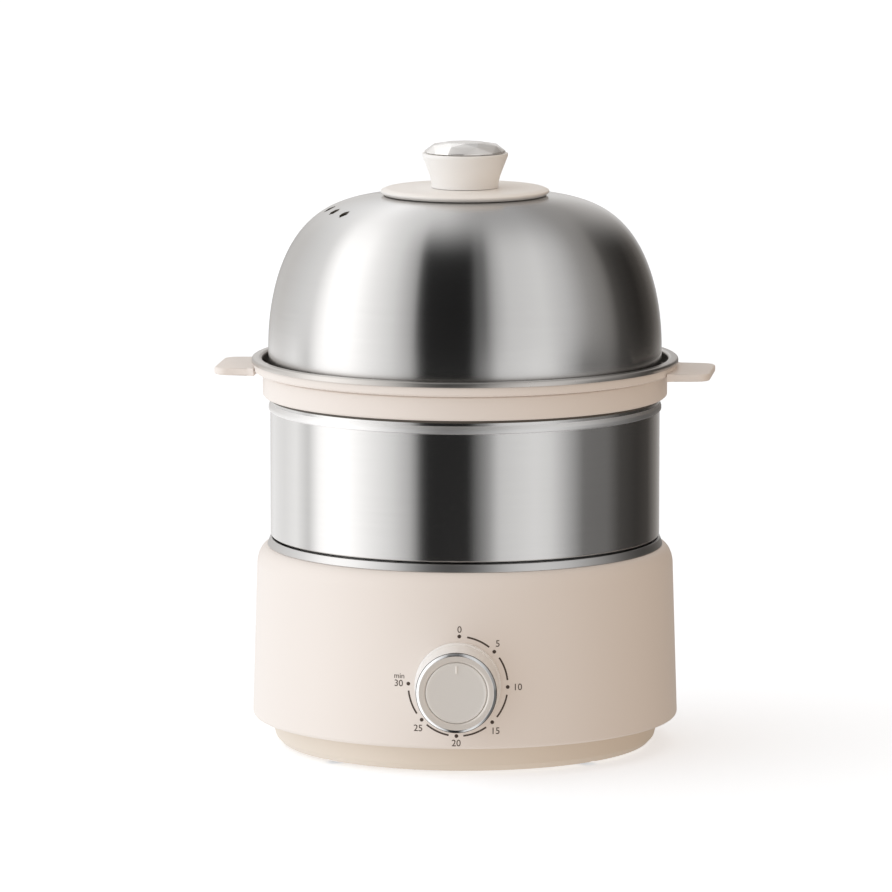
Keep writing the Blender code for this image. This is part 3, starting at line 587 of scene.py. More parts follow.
def make_feet():
    for number in range(1, 5):
        place = centre_of(f"foot_{number}")
        radius, low, top = size_of(f"foot_{number}")
        outline = [
            (0, top),
            (radius, top, 0.0002),
            (radius, low, 0.0007),
            (0.0042, low, 0.0002),
            (0.0038, low + 0.0004),
            (0, low + 0.0004),
        ]
        foot = turned(f"rubber_foot_{number}", outline, RUBBER, SMALL, centre=(place.x, place.y, 0))
        finish_piece(foot, "base", [f"foot_{number}"])


def make_pan():
    radius, floor, rim = size_of("heating_pan")
    wall_r = radius - 0.0011
    ledge = HOUSING_TOP + 0.00005
    upper = floor + PAN_SHEET
    outline = [
        (0, upper + PAN_BOSS_RISE),
        (PAN_BOSS_R, upper + PAN_BOSS_RISE, PAN_BEND),
        (PAN_BOSS_FOOT_R, upper, PAN_BEND),
        (PAN_FLOOR_R - 0.0005, upper, PAN_BEND),
        (wall_r - PAN_SHEET, floor + 0.0060, PAN_BEND),
        (wall_r - PAN_SHEET, rim, 0.0004),
        (wall_r, rim, 0.0004),
        (radius, ledge + 0.0003, 0.0002),
        (radius, ledge, 0.0001),
        (wall_r, ledge, 0.0002),
        (wall_r, floor + 0.0055, PAN_BEND),
        (PAN_FLOOR_R, floor, PAN_BEND),
        (PAN_BOSS_FOOT_R, floor, PAN_BEND),
        (PAN_BOSS_R, floor + PAN_BOSS_RISE, PAN_BEND),
        (0, floor + PAN_BOSS_RISE),
    ]
    finish_piece(turned("water_pan", outline, PAN_STEEL), "base", ["heating_pan"])


# ---- timer

SEAT_R, _, SEAT_FRONT = dial_size("knob_seat")
SEAT_BORE = 0.0060
SEAT_DEEP = 0.0855  # a depth inside the wall, from which the collar's back is laid on the wall
SEAT_EDGE = 0.0030  # what lies further back than this from the collar's front follows the wall
WALL_GAP = 0.00005
KNOB_R, KNOB_BACK, KNOB_FRONT = dial_size("knob_body")
KNOB_SKIN = 0.0020
KNOB_FRONT_WALL = 0.0022
KNOB_STEM_R = 0.0056
SHAFT_HOLE_R, SHAFT_HOLE_END = 0.0033, 0.0031
TRIM_R, _, TRIM_FRONT = dial_size("knob_trim_ring")
FACE_R, _, FACE_FRONT = dial_size("knob_face")
TRIM_BACK = KNOB_FRONT + 0.0002
CHROME_WIDTH = 0.0012  # the bright slope round the bezel's pearly land
POINTER_WIDTH = 0.0007
POINTER_DEPTH = 0.0005
POINTER_LIFT = 0.00005
POINTER_START, POINTER_END = FACE_R - 0.0044, FACE_R - 0.0014
FINE_BEVEL = 0.00012


def make_seat():
    """The fixed collar, whose back follows the round wall."""
    outline = [
        (SEAT_BORE, SEAT_FRONT),
        (SEAT_R, SEAT_FRONT, 0.0006),
        (SEAT_R, SEAT_DEEP),
        (SEAT_BORE, SEAT_DEEP),
    ]
    seat = turned("dial_collar", outline, KNOB_CREAM, MEDIUM, axis="Y")
    for vert in seat.data.vertices:
        place = vert.co
        if place.y > -(SEAT_FRONT - SEAT_EDGE):
            wall = wall_radius(place.z) + WALL_GAP
            place.y = -math.sqrt(wall**2 - place.x**2)
    seat.data.update()
    finish_piece(smooth(seat), "base", ["knob_seat"])


def make_knob_body():
    front_r = KNOB_R - 0.0006
    outline = [
        (0, KNOB_FRONT),
        (front_r, KNOB_FRONT, 0.0004),
        (KNOB_R, KNOB_BACK, 0.0006),
        (KNOB_R - KNOB_SKIN, KNOB_BACK, 0.0003),
        (front_r - KNOB_SKIN, KNOB_FRONT - KNOB_FRONT_WALL),
        (KNOB_STEM_R, KNOB_FRONT - KNOB_FRONT_WALL),
        (KNOB_STEM_R, KNOB_BACK + 0.001),
        (SHAFT_HOLE_R, KNOB_BACK + 0.001),
        (SHAFT_HOLE_R, KNOB_FRONT - SHAFT_HOLE_END),
        (0, KNOB_FRONT - SHAFT_HOLE_END),
    ]
    body = turned("knob_cap_body", outline, KNOB_CREAM, BROAD, axis="Y")
    finish_piece(body, "timer", ["knob_body"])


def make_bezel():
    """The ring round the knob's face: a flat pearly land inside a bright slope."""
    outer, inner = TRIM_R - 0.0001, FACE_R + 0.0002
    outline = [
        (TRIM_R - CHROME_WIDTH, TRIM_FRONT - 0.0001, 0.0005),
        (outer, TRIM_FRONT - 0.0012, 0.0005),
        (outer, TRIM_BACK, 0.0001),
        (inner, TRIM_BACK, 0.0001),
        (inner, TRIM_FRONT - 0.0008, 0.0003),
        (inner + 0.0007, TRIM_FRONT - 0.0003, 0.0008),
    ]
    bezel = turned("knob_bezel", outline, PEARL, BROAD, axis="Y")
    slope = TRIM_R - CHROME_WIDTH
    paint(bezel, CHROME, lambda spot: math.hypot(spot.x, spot.z - TIMER_HEIGHT) > slope)
    finish_piece(bezel, "timer", ["knob_trim_ring"])


def make_knob_groove():
    """A thin dark flat ring that paints the shade where the bezel meets the knob's body."""
    outer, inner = TRIM_R + 0.0001, TRIM_R - 0.0005
    front, back = TRIM_BACK + 0.0001, TRIM_BACK - 0.0001
    outline = [(outer, front), (outer, back), (inner, back), (inner, front)]
    finish_piece(turned("knob_groove_shade", outline, PAINTED_SHADE, BROAD, axis="Y"), "timer")


def make_knob_plate():
    outline = [
        (0, FACE_FRONT - 0.0004),
        (FACE_R - 0.0012, FACE_FRONT - 0.0002, 0.01),
        (FACE_R - 0.0004, FACE_FRONT, 0.0003),
        (FACE_R, FACE_FRONT - 0.0003, 0.0002),
        (FACE_R, TRIM_BACK),
        (0, TRIM_BACK),
    ]
    plate = turned("knob_plate", outline, CHAMPAGNE, BROAD, axis="Y")
    finish_piece(plate, "timer", ["knob_face"])


def make_pointer():
    """A short raised bar near the edge of the knob's face that shows the minutes."""
    size = (POINTER_WIDTH, POINTER_DEPTH, POINTER_END - POINTER_START)
    place = (0, -FACE_FRONT + POINTER_LIFT, TIMER_HEIGHT + (POINTER_START + POINTER_END) / 2)
    shape = bmesh.new()
    bmesh.ops.create_cube(shape, size=1.0)
    bmesh.ops.scale(shape, vec=size, verts=shape.verts)
    bevel(shape, shape.edges[:], FINE_BEVEL, 3)
    bmesh.ops.translate(shape, vec=place, verts=shape.verts)
    finish_piece(smooth(piece("knob_pointer", shape, LID_CREAM)), "timer")


# ---- dial print

DIAL_R = 0.0207
DIAL_DROP = 0.0004  # the print's centre lies a little under the knob's
DIAL_TURN = math.radians(1.6)  # and the print is a little turned
DOT_R = 0.00078
LINE_WIDTH = 0.0007
DOT_SIDES = 20
ARC_START, ARC_END = math.radians(9), math.radians(8)  # the gaps between a line and its dots
ARC_STEPS = 18
NUMERAL_R = 0.0236
NUMERAL_HEIGHT = 0.0027
NUMERAL_SIDE_OUT = 0.0013  # how much further out the numbers at the sides stand
NUMERAL_CORNER_IN, NUMERAL_CORNER_UP = 0.0026, 0.0016  # how the numbers at the corners are moved
UNIT_OUT, UNIT_RISE, UNIT_SHARE = 0.0010, 0.0031, 0.80  # the unit over the last number, and its size
DIGIT_SHARE = 0.69  # the height of a digit in a font of size 1
PRINT_LIFT = 0.00006  # thickness of the print on the wall
DIAL_STEP = math.radians(45)
MINUTES = (5, 10, 15, 20, 25, 30)


def dial_place(angle, radius):
    """A point on the dial, by clockwise angle from the top."""
    return radius * math.sin(angle + DIAL_TURN), radius * math.cos(angle + DIAL_TURN) - DIAL_DROP


def wrap_print(name, shape):
    """Lays a flat print, drawn in X and Z about the dial's centre, on the round leaning wall."""
    for vert in shape.verts:
        height = TIMER_HEIGHT + vert.co.z
        radius = wall_radius(height)
        turn = vert.co.x / radius
        lift = radius + PRINT_LIFT * (1 if vert.co.y < 0 else -1)
        vert.co = (lift * math.sin(turn), -lift * math.cos(turn), height)
    bmesh.ops.recalc_face_normals(shape, faces=shape.faces)
    return finish_piece(piece(name, shape, INK), "base")


def slab(shape, outline):
    """Adds a prism over a flat outline, from Y -1 to 1. wrap_print makes it thin."""
    front = [shape.verts.new((x, -1, z)) for x, z in outline]
    back = [shape.verts.new((x, 1, z)) for x, z in outline]
    shape.faces.new(front)
    shape.faces.new(list(reversed(back)))
    for i in range(len(front)):
        j = (i + 1) % len(front)
        shape.faces.new((front[j], front[i], back[i], back[j]))


def arc_band(shape, start, end):
    """A thin curved line between two dial angles."""
    inner, outer = DIAL_R - LINE_WIDTH / 2, DIAL_R + LINE_WIDTH / 2
    angles = [start + (end - start) * i / ARC_STEPS for i in range(ARC_STEPS + 1)]
    for a, b in zip(angles, angles[1:]):
        slab(shape, [dial_place(a, inner), dial_place(b, inner), dial_place(b, outer), dial_place(a, outer)])


def make_dial_marks():
    shape = bmesh.new()
    for k in range(len(MINUTES) + 1):
        x, z = dial_place(k * DIAL_STEP, DIAL_R)
        slab(shape, [(x + dot_x, z + dot_z) for dot_x, dot_z in ring_of(DOT_SIDES, DOT_R)])
    for k in range(len(MINUTES)):
        arc_band(shape, k * DIAL_STEP + ARC_START, (k + 1) * DIAL_STEP - ARC_END)
    wrap_print("dial_marks", shape)


def add_text(target, words, place, height):
    """Adds a flat text, centred on a place in X and Z, to a print."""
    curve = bpy.data.curves.new("text", "FONT")
    curve.body = words
    curve.size = height / DIGIT_SHARE
    curve.align_x = "CENTER"
    curve.resolution_u = 4
    curve.extrude = 1.0
    obj = bpy.data.objects.new("text", curve)
    link(obj)
    graph = bpy.context.evaluated_depsgraph_get()
    graph.update()
    shape = bmesh.new()
    shape.from_mesh(bpy.data.meshes.new_from_object(obj.evaluated_get(graph)))
    bpy.data.objects.remove(obj)
    bmesh.ops.remove_doubles(shape, verts=shape.verts, dist=1e-7)
    for vert in shape.verts:
        x, y, z = vert.co
        vert.co = (place[0] + x, -z, place[1] + y - height / 2)
    add_shape(target, shape)


def make_dial_numbers():
    shape = bmesh.new()
    for k, minutes in enumerate(MINUTES, 1):
        along, across = math.cos(k * DIAL_STEP), math.sin(k * DIAL_STEP)
        x, z = dial_place(k * DIAL_STEP, NUMERAL_R + NUMERAL_SIDE_OUT * abs(across))
        x -= NUMERAL_CORNER_IN * abs(along) * across
        z += NUMERAL_CORNER_UP * along * abs(across)
        add_text(shape, str(minutes), (x, z), NUMERAL_HEIGHT)
    add_text(shape, "0", dial_place(0, NUMERAL_R), NUMERAL_HEIGHT)
    x, z = dial_place(len(MINUTES) * DIAL_STEP, NUMERAL_R + UNIT_OUT)
    add_text(shape, "min", (x, z + UNIT_RISE), NUMERAL_HEIGHT * UNIT_SHARE)
    wrap_print("dial_numbers", shape)


# ---- pot

RIM_R, POT_LOW, RIM_TOP = size_of("pot_wall")
POT_R = 0.0822
POT_SHEET = 0.0008
POT_STEP = POT_LOW + 0.0039  # where the skirt widens to the wall
SKIRT_R = 0.0795
BEAD_TOP, BEAD_LOW = 0.1459, 0.1425
BEAD_DEPTH = 0.0007
RIM_LOW = RIM_TOP - 0.0018
LEDGE_Z = RIM_TOP - 0.0062
RIM_INNER_R = 0.0855
NECK_R = RIM_INNER_R + POT_SHEET
LIP_R = 0.0893  # the rolled rim hangs a little outside this
STEAM_HOLE_R = 0.0019
STEAM_HOLES = [*ring_of(6, 0.028, math.radians(4)), *ring_of(12, 0.058, math.radians(2))]
COLLAR_TOP, COLLAR_LOW = RIM_LOW - 0.0002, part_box("handle_ring")[0].z
COLLAR_STEP = COLLAR_TOP - 0.0040
COLLAR_FLANGE_R = 0.0891
COLLAR_BAND_R = 0.0853
COLLAR_GAP = 0.0003  # between the collar and the pot inside it
GROOVE = 0.0008  # depth of the groove under the flange
# Height of the dark ring that paints the shade under the collar
SHADE_LINE_HEIGHT = 0.0012
EAR_TURN = math.radians(-4.4)
EAR_HALF_WIDTH = 0.0200
EAR_THICKNESS = 0.0032
EAR_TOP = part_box("handle_ring")[1].z - 0.0012
EAR_TIP_R = 0.1048
EAR_ROOT_R = 0.0872
EAR_FLARE_LENGTH, EAR_FLARE = 0.0028, 0.0012  # the ear widens where it joins the collar
EAR_CORNER = 0.0062
EAR_CORNER_STEPS = 8
EAR_EDGE = 0.0009


def make_pot():
    inner = POT_R - POT_SHEET
    outline = [
        (0, POT_LOW + POT_SHEET),
        (SKIRT_R - POT_SHEET, POT_LOW + POT_SHEET, 0.002),
        (SKIRT_R - POT_SHEET, POT_STEP + POT_SHEET, 0.0006),
        (inner, POT_STEP + POT_SHEET, 0.002),
        (inner, LEDGE_Z + 0.0004, 0.001),
        (RIM_INNER_R, LEDGE_Z + 0.0010, 0.001),
        (RIM_INNER_R, RIM_TOP, 0.0014),
        (RIM_R, RIM_TOP, 0.0014),
        (RIM_R, RIM_LOW - 0.0004, 0.0006),
        (LIP_R, RIM_LOW - 0.0004, 0.0002),
        (LIP_R, RIM_LOW, 0.0001),
        (NECK_R, RIM_LOW, 0.0004),
        (NECK_R, LEDGE_Z + 0.0002, 0.001),
        (POT_R, LEDGE_Z - 0.0004, 0.001),
        (POT_R, BEAD_TOP, 0.0004),
        (POT_R + BEAD_DEPTH, BEAD_TOP - 0.0016, 0.0020),
        (POT_R + BEAD_DEPTH, BEAD_LOW + 0.0004, 0.0002),
        (POT_R, BEAD_LOW, 0.0001),
        (POT_R, POT_STEP, 0.0022),
        (SKIRT_R, POT_STEP, 0.0005),
        (SKIRT_R, POT_LOW, 0.002),
        (0, POT_LOW),
    ]
    pot = turned("steam_pot", outline, STEEL)
    low, high = POT_LOW - 0.002, POT_LOW + 0.003
    cut(pot, [pillar(STEAM_HOLE_R, low, high, place, STEAM_HOLE_SIDES) for place in STEAM_HOLES])
    inside, wall, bead_low = RIM_INNER_R + 0.0003, POT_R - 0.0002, BEAD_LOW - 0.0001
    # The rim gets its polished steel with painted dark reflections
    paint(pot, RIM_REFLECTION_STEEL, lambda spot: spot.z > RIM_LOW - 0.0005 and spot.xy.length > inside)
    # The bead gets its rougher steel with a painted highlight
    paint(pot, BEAD_HIGHLIGHT_STEEL, lambda spot: bead_low < spot.z < BEAD_TOP and spot.xy.length > wall)
    # The inside of the neck is painted dark as shade
    paint(pot, NECK_SHADE_STEEL, lambda spot: spot.z > LEDGE_Z - 0.0030 and spot.xy.length < inside)
    finish_piece(pot, "pot", ["pot_wall"])


def make_collar_seal():
    """A thin dark ring that paints the shade between the collar's lower edge and the pot."""
    top = COLLAR_LOW - 0.0001
    low = top - SHADE_LINE_HEIGHT
    outer, inner = POT_R + COLLAR_GAP, POT_R - 0.0001
    outline = [(outer, top), (outer, low, 0.0002), (inner, low), (inner, top)]
    finish_piece(turned("collar_shade_line", outline, PAINTED_SHADE), "pot")


def make_handle_ring():
    bore = POT_R + COLLAR_GAP
    neck = NECK_R + COLLAR_GAP
    groove_r = COLLAR_BAND_R - GROOVE
    outline = [
        (COLLAR_FLANGE_R, COLLAR_TOP, 0.0003),
        (COLLAR_FLANGE_R, COLLAR_STEP + 0.0006, 0.0008),
        (COLLAR_FLANGE_R - 0.0010, COLLAR_STEP, 0.0004),
        (groove_r, COLLAR_STEP, 0.0002),
        (groove_r, COLLAR_STEP - 0.0005, 0.0002),
        (COLLAR_BAND_R, COLLAR_STEP - 0.0010, 0.0004),
        (COLLAR_BAND_R, COLLAR_LOW + 0.0008, 0.0006),
        (COLLAR_BAND_R - 0.0008, COLLAR_LOW, 0.0005),
        (bore, COLLAR_LOW, 0.0003),
        (bore, LEDGE_Z - 0.0008, 0.001),
        (neck, LEDGE_Z, 0.0005),
        (neck, COLLAR_TOP, 0.0003),
    ]
    finish_piece(turned("pot_collar", outline, CREAM), "pot", ["handle_ring"])
    for name, turn in (("right", EAR_TURN), ("left", EAR_TURN + math.pi)):
        ear = make_ear(f"pot_ear_{name}")
        ear.data.transform(Matrix.Rotation(turn, 4, "Z"))
        finish_piece(ear, "pot")


def make_ear(name):
    """A flat lug with round corners and edges, wider where it joins the collar."""
    flare_end = EAR_ROOT_R + EAR_FLARE_LENGTH
    outline = [(EAR_ROOT_R, -EAR_HALF_WIDTH - EAR_FLARE), (flare_end, -EAR_HALF_WIDTH)]
    middle = EAR_HALF_WIDTH - EAR_CORNER
    for y, start in ((-middle, -90), (middle, 0)):
        for k in range(EAR_CORNER_STEPS + 1):
            angle = math.radians(start + 90 * k / EAR_CORNER_STEPS)
            x = EAR_TIP_R - EAR_CORNER + EAR_CORNER * math.cos(angle)
            outline.append((x, y + EAR_CORNER * math.sin(angle)))
    outline += [(flare_end, EAR_HALF_WIDTH), (EAR_ROOT_R, EAR_HALF_WIDTH + EAR_FLARE)]
    shape = bmesh.new()
    face = shape.faces.new([shape.verts.new((x, y, EAR_TOP - EAR_THICKNESS)) for x, y in outline])
    raised = bmesh.ops.extrude_face_region(shape, geom=[face])
    for vert in [g for g in raised["geom"] if isinstance(g, bmesh.types.BMVert)]:
        vert.co.z = EAR_TOP
    outer = [e for e in shape.edges if min(v.co.x for v in e.verts) > EAR_ROOT_R + 0.001]
    bevel(shape, [e for e in outer if abs(e.verts[0].co.z - e.verts[1].co.z) < 1e-6], EAR_EDGE, 5)
    bmesh.ops.recalc_face_normals(shape, faces=shape.faces)
    return smooth(piece(name, shape, CREAM))


# ---- racks

RACK_SHEET = 0.0016
RACK_RIM = 0.0014
RACK_BORE = 0.0075
EGG_HOLE_R = 0.0170
EGG_PLACES = ring_of(7, 0.054, math.radians(90))
STEM_R = 0.0040
GRIP_R, GRIP_RISE = 0.0080, 0.032  # the grip's radius, and its height over the rack
COLLET_R = 0.0110
NUT_R = 0.0092
SOCKET_R = 0.0045


def make_rack(tier):
    radius, bottom, top = size_of(f"{tier}_rack")
    under = top - RACK_SHEET
    outline = [
        (radius, top, 0.0012),
        (radius, bottom, 0.0004),
        (radius - RACK_RIM, bottom, 0.0004),
        (radius - RACK_RIM, under, 0.0006),
        (RACK_BORE, under, 0.0002),
        (RACK_BORE, top, 0.0003),
    ]
    rack = turned(f"{tier}_egg_rack", outline, PAN_STEEL, WIDE)
    cut(rack, [pillar(EGG_HOLE_R, top - 0.004, top + 0.002, place, NARROW) for place in EGG_PLACES])
    finish_piece(rack, f"{tier}_tier", [f"{tier}_rack"])
    lip = [
        (EGG_HOLE_R, under),
        (EGG_HOLE_R, top + 0.0002, 0.0002),
        (EGG_HOLE_R + 0.0010, top + 0.0002, 0.0004),
        (EGG_HOLE_R + 0.0016, top - 0.0001),
        (EGG_HOLE_R + 0.0010, top - 0.0006),
        (EGG_HOLE_R + 0.0006, under - 0.0002, 0.0003),
    ]
    outline = rounded(lip)[::-1]  # the corners run up the inner side, so the outline is turned over
    for number, place in enumerate(EGG_PLACES, 1):
        cup = turned(f"{tier}_egg_lip_{number}", outline, PAN_STEEL, NARROW, centre=(*place, 0))
        finish_piece(cup, f"{tier}_tier")


def make_post(tier, socket):
    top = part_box(f"{tier}_post")[1].z
    rack_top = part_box(f"{tier}_rack")[1].z
    under = rack_top - RACK_SHEET
    grip = rack_top + GRIP_RISE
    outline = [
        (0, top),
        (STEM_R, top, 0.0009),
        (STEM_R, grip + 0.009, 0.001),
        (GRIP_R, grip + 0.0075, 0.0018),
        (GRIP_R, grip - 0.0020, 0.0020),
        (STEM_R + 0.0006, grip - 0.006, 0.003),
        (STEM_R + 0.0014, rack_top + 0.0030, 0.002),
        (COLLET_R, rack_top + 0.0012, 0.0006),
        (COLLET_R, rack_top + 0.0003),
        (RACK_BORE - 0.0003, rack_top + 0.0003),
        (RACK_BORE - 0.0003, under - 0.0003),
        (NUT_R, under - 0.0003, 0.0003),
        (NUT_R, under - 0.0020, 0.0006),
        (0.0052, under - 0.0036, 0.0004),
    ]
    if socket:
        outline += [(SOCKET_R, under - 0.0036), (SOCKET_R, rack_top - 0.0003), (0, rack_top - 0.0003)]
    else:
        outline += [(0, under - 0.0036)]
    post = turned(f"{tier}_lift_post", outline, GRIP, NARROW)
    finish_piece(post, f"{tier}_tier", [f"{tier}_post"])


# ---- lid

DOME_R, DOME_LOW, _ = size_of("lid_dome")
DOME_WAIST = 0.16954
DOME_HEIGHT = 0.0640
DOME_ROUND_R = 4.741  # how square the dome's curve is, across and upwards
DOME_ROUND_Z = 1.970
DOME_SHEET = 0.0008
DOME_STEPS = 90
LID_BORE = 0.0023
VENT_R, VENT_CIRCLE_R = 0.0020, 0.0571
VENT_ANGLES = [math.radians(angle) for angle in (188, 199, 210)]
VENT_PLACES = [(VENT_CIRCLE_R * math.cos(a), VENT_CIRCLE_R * math.sin(a)) for a in VENT_ANGLES]
VENT_CUT = 0.215, 0.240  # the heights between which the vents are cut
GRIP_FOOT_R = 0.0141
GRIP_WALL = 0.0030
GEM_TABLE_R, GEM_MIDDLE_R = 0.0084, 0.0142
GEM_MIDDLE_RISE, GEM_GIRDLE = 0.0031, 0.0006
GEM_SIDES = 8
GEM_TURN = math.radians(-90)
GEM_SHARP = math.radians(9)


def dome_point(angle):
    """A point (radius, height) of the dome's squarish curve, from the waist at 0 to the crown."""
    radius = DOME_R * math.cos(angle) ** (2 / DOME_ROUND_R)
    return radius, DOME_WAIST + DOME_HEIGHT * math.sin(angle) ** (2 / DOME_ROUND_Z)


def make_dome():
    hole_angle = math.acos((LID_BORE / DOME_R) ** (DOME_ROUND_R / 2))
    outer = [dome_point(hole_angle * (1 - i / DOME_STEPS)) for i in range(DOME_STEPS + 1)]
    outer += [(DOME_R, DOME_LOW + 0.0006), (DOME_R, DOME_LOW)]
    inner = []
    for i, (radius, height) in enumerate(outer):
        before, after = Vector(outer[max(i - 1, 0)]), Vector(outer[min(i + 1, len(outer) - 1)])
        along = (after - before).normalized()
        inner.append((max(radius + along.y * DOME_SHEET, LID_BORE), height - along.x * DOME_SHEET))
    dome = turned("lid_shell", outer + inner[::-1], STEEL)
    cut(dome, [pillar(VENT_R, *VENT_CUT, place, VENT_SIDES) for place in VENT_PLACES])
    # The walls of the vent holes are painted dark as shade
    reach = VENT_R + 0.0001
    paint(dome, PAINTED_SHADE, lambda spot: any((spot.xy - Vector(place)).length < reach for place in VENT_PLACES))
    finish_piece(dome, "lid", ["lid_dome"])


def make_lid_disc():
    radius, low, top = size_of("lid_disc")
    crown = DOME_WAIST + DOME_HEIGHT + 0.0003
    outline = [
        (LID_BORE, top - 0.0002),
        (radius - 0.0022, top - 0.0002, 0.004),
        (radius, top - 0.0012, 0.0010),
        (radius, low + 0.0010, 0.0008),
        (radius - 0.0012, low, 0.0004),
        (radius - 0.0090, crown, 0.002),
        (LID_BORE, crown),
    ]
    finish_piece(turned("lid_seat", outline, LID_CREAM), "lid", ["lid_disc"])


def make_lid_knob():
    radius, low, top = size_of("lid_knob")
    outline = [
        (0, top),
        (radius, top, 0.0005),
        (radius, top - 0.0013, 0.0008),
        (GRIP_FOOT_R + 0.0027, top - 0.0046, 0.004),
        (GRIP_FOOT_R + 0.0008, top - 0.0095, 0.010),
        (GRIP_FOOT_R, low + 0.0016, 0.004),
        (GRIP_FOOT_R, low - 0.0003),
        (LID_BORE, low - 0.0003),
        (LID_BORE, top - GRIP_WALL),
        (0, top - GRIP_WALL),
    ]
    finish_piece(turned("lid_grip", outline, KNOB_CREAM, WIDE), "lid", ["lid_knob"])


def make_lid_cap():
    """A bright cap cut like a gem: a flat top, star facets, kites and a girdle with twice as many sides."""
    radius, low, top = size_of("lid_knob_cap")
    girdle_r = radius - 0.0001
    half_step = math.pi / GEM_SIDES
    rings = [
        (ring_of(GEM_SIDES, GEM_TABLE_R, GEM_TURN), top),
        (ring_of(GEM_SIDES, GEM_MIDDLE_R, GEM_TURN + half_step), low + GEM_MIDDLE_RISE),
        (ring_of(2 * GEM_SIDES, girdle_r, GEM_TURN), low + GEM_GIRDLE),
        (ring_of(2 * GEM_SIDES, girdle_r, GEM_TURN), low),
    ]
    shape = bmesh.new()
    for ring, height in rings:
        for x, y in ring:
            shape.verts.new((x, y, height))
    bmesh.ops.convex_hull(shape, input=shape.verts)
    bmesh.ops.dissolve_limit(shape, angle_limit=math.radians(1), verts=shape.verts, edges=shape.edges)
    bevel(shape, shape.edges[:], FINE_BEVEL, 2, 0.6)
    bmesh.ops.recalc_face_normals(shape, faces=shape.faces)
    finish_piece(smooth(piece("lid_gem", shape, GEM), GEM_SHARP), "lid", ["lid_knob_cap"])


# ---- stage and light

FLOOR_HALF_SIZE = 12
PAPER = (0.93, 0.93, 0.93, 1)
PAPER_GLOW, PAPER_GLOW_LEVEL = (0.80, 0.90, 1.0, 1), 0.38


def make_floor():
    """Pale paper that glows a little. Only the camera sees it, so the object doesn't mirror it."""
    shape = bmesh.new()
    bmesh.ops.create_grid(shape, x_segments=2, y_segments=2, size=FLOOR_HALF_SIZE)
    material, nodes, shader = new_material("floor_paper")
    nodes.put(shader, "Base Color", PAPER)
    nodes.put(shader, "Roughness", 0.9)
    nodes.put(shader, "Specular IOR Level", 0.0)
    nodes.put(shader, "Emission Color", PAPER_GLOW)
    nodes.put(shader, "Emission Strength", PAPER_GLOW_LEVEL)
    floor = piece("floor", shape, material)
    floor.visible_glossy = False
    floor.visible_diffuse = False
    floor.visible_shadow = False


BOX_STRENGTH = 1.6
# The room is rows of tall soft boxes that lean in over the object and meet behind it. Each stop gives the way
# that a surface faces when it mirrors the box, in degrees to the right of the camera, a level and a warmth.
LOW_BOXES = [
    (-90, 0.38, 0.98), (-78, 0.68, 1), (-67, 0.66, 1), (-59.5, 0.76, 1),
    (-53, 0.50, 1), (-48, 0.92, 1), (-43, 1.00, 1), (-37, 1.00, 1),
    (-30, 0.80, 1), (-22, 0.60, 1), (-16.5, 0.40, 1), (-14.5, 0.24, 1),
    (-13, 0.065, 1), (-11, 0.018, 1), (1, 0.018, 1), (4, 0.15, 1),
    (7, 0.28, 1), (10, 0.51, 1), (21, 0.62, 1), (26, 0.56, 1),
    (32, 0.30, 1), (37, 0.10, 0.98), (46, 0.11, 0.98), (52, 0.05, 0.95),
    (61, 0.033, 0.93), (69, 0.05, 0.92), (78, 0.20, 0.94), (90, 0.38, 0.98),
]
HIGH_BOXES = [
    (-90, 0.30, 0.98), (-80, 0.42, 0.98), (-72, 0.45, 0.98), (-60, 0.54, 1),
    (-52, 0.62, 1), (-45, 1.00, 1), (-35, 0.98, 1), (-29, 0.76, 1),
    (-22, 0.58, 1), (-15.5, 0.30, 1), (-14, 0.06, 1), (-12, 0.012, 1),
    (1.8, 0.010, 1), (3.7, 0.09, 1), (6, 0.10, 1), (9, 0.34, 1),
    (13, 0.49, 1), (24, 0.55, 1), (32, 0.43, 1), (40, 0.245, 0.98),
    (48, 0.15, 0.96), (52, 0.055, 0.94), (57, 0.030, 0.93), (64, 0.018, 0.90),
    (72, 0.045, 0.90), (80, 0.12, 0.92), (90, 0.30, 0.98),
]
CEILING_BOXES = [
    (-90, 0.44, 0.98), (-64, 0.60, 1), (-40, 0.80, 1), (-24, 0.61, 1),
    (-8, 0.52, 1), (0, 0.38, 1), (8, 0.30, 1), (25, 0.29, 1),
    (40, 0.235, 0.98), (56, 0.26, 0.97), (72, 0.36, 0.97), (90, 0.44, 0.98),
]
# How steeply a surface must face upwards before it mirrors the next set of boxes: start, full
HIGH_RISE = (0.01, 0.09)
CEILING_RISE = (0.54, 0.98)
# Where the boxes meet, behind the object and a little below it
MEETING_DROP = math.radians(7.8)
MEETING = Vector((-math.sin(CAMERA_TURN), math.cos(CAMERA_TURN), -math.tan(MEETING_DROP))).normalized()
# What lights the plastic: a tinted fill that falls off to the right, and a soft key from the left
FILL_LEVEL, FILL_LEAN = 0.80, 0.30
LEFT_TINT, RIGHT_TINT = (0.95, 1.0, 1.05), (1.0, 0.80, 0.62)
KEY_LEVEL, KEY_SPREAD = 0.95, 8
KEY_DIRECTION = (-0.88, -0.32, 0.34)
KEY_TINT = (0.94, 1.0, 1.08)


def vector_math(nodes, operation, first, second=None, output="Vector"):
    node = nodes.add("ShaderNodeVectorMath", {"operation": operation})
    nodes.put(node, 0, first)
    if second is not None:
        nodes.put(node, 1, second)
    return node.outputs[output]


def eased(nodes, value, limits):
    """0 below the first limit, 1 above the second, with a smooth change between."""
    ease = nodes.add("ShaderNodeMapRange", {"interpolation_type": "SMOOTHSTEP"})
    nodes.put(ease, "Value", value)
    ease.inputs["From Min"].default_value, ease.inputs["From Max"].default_value = limits
    return ease.outputs[0]


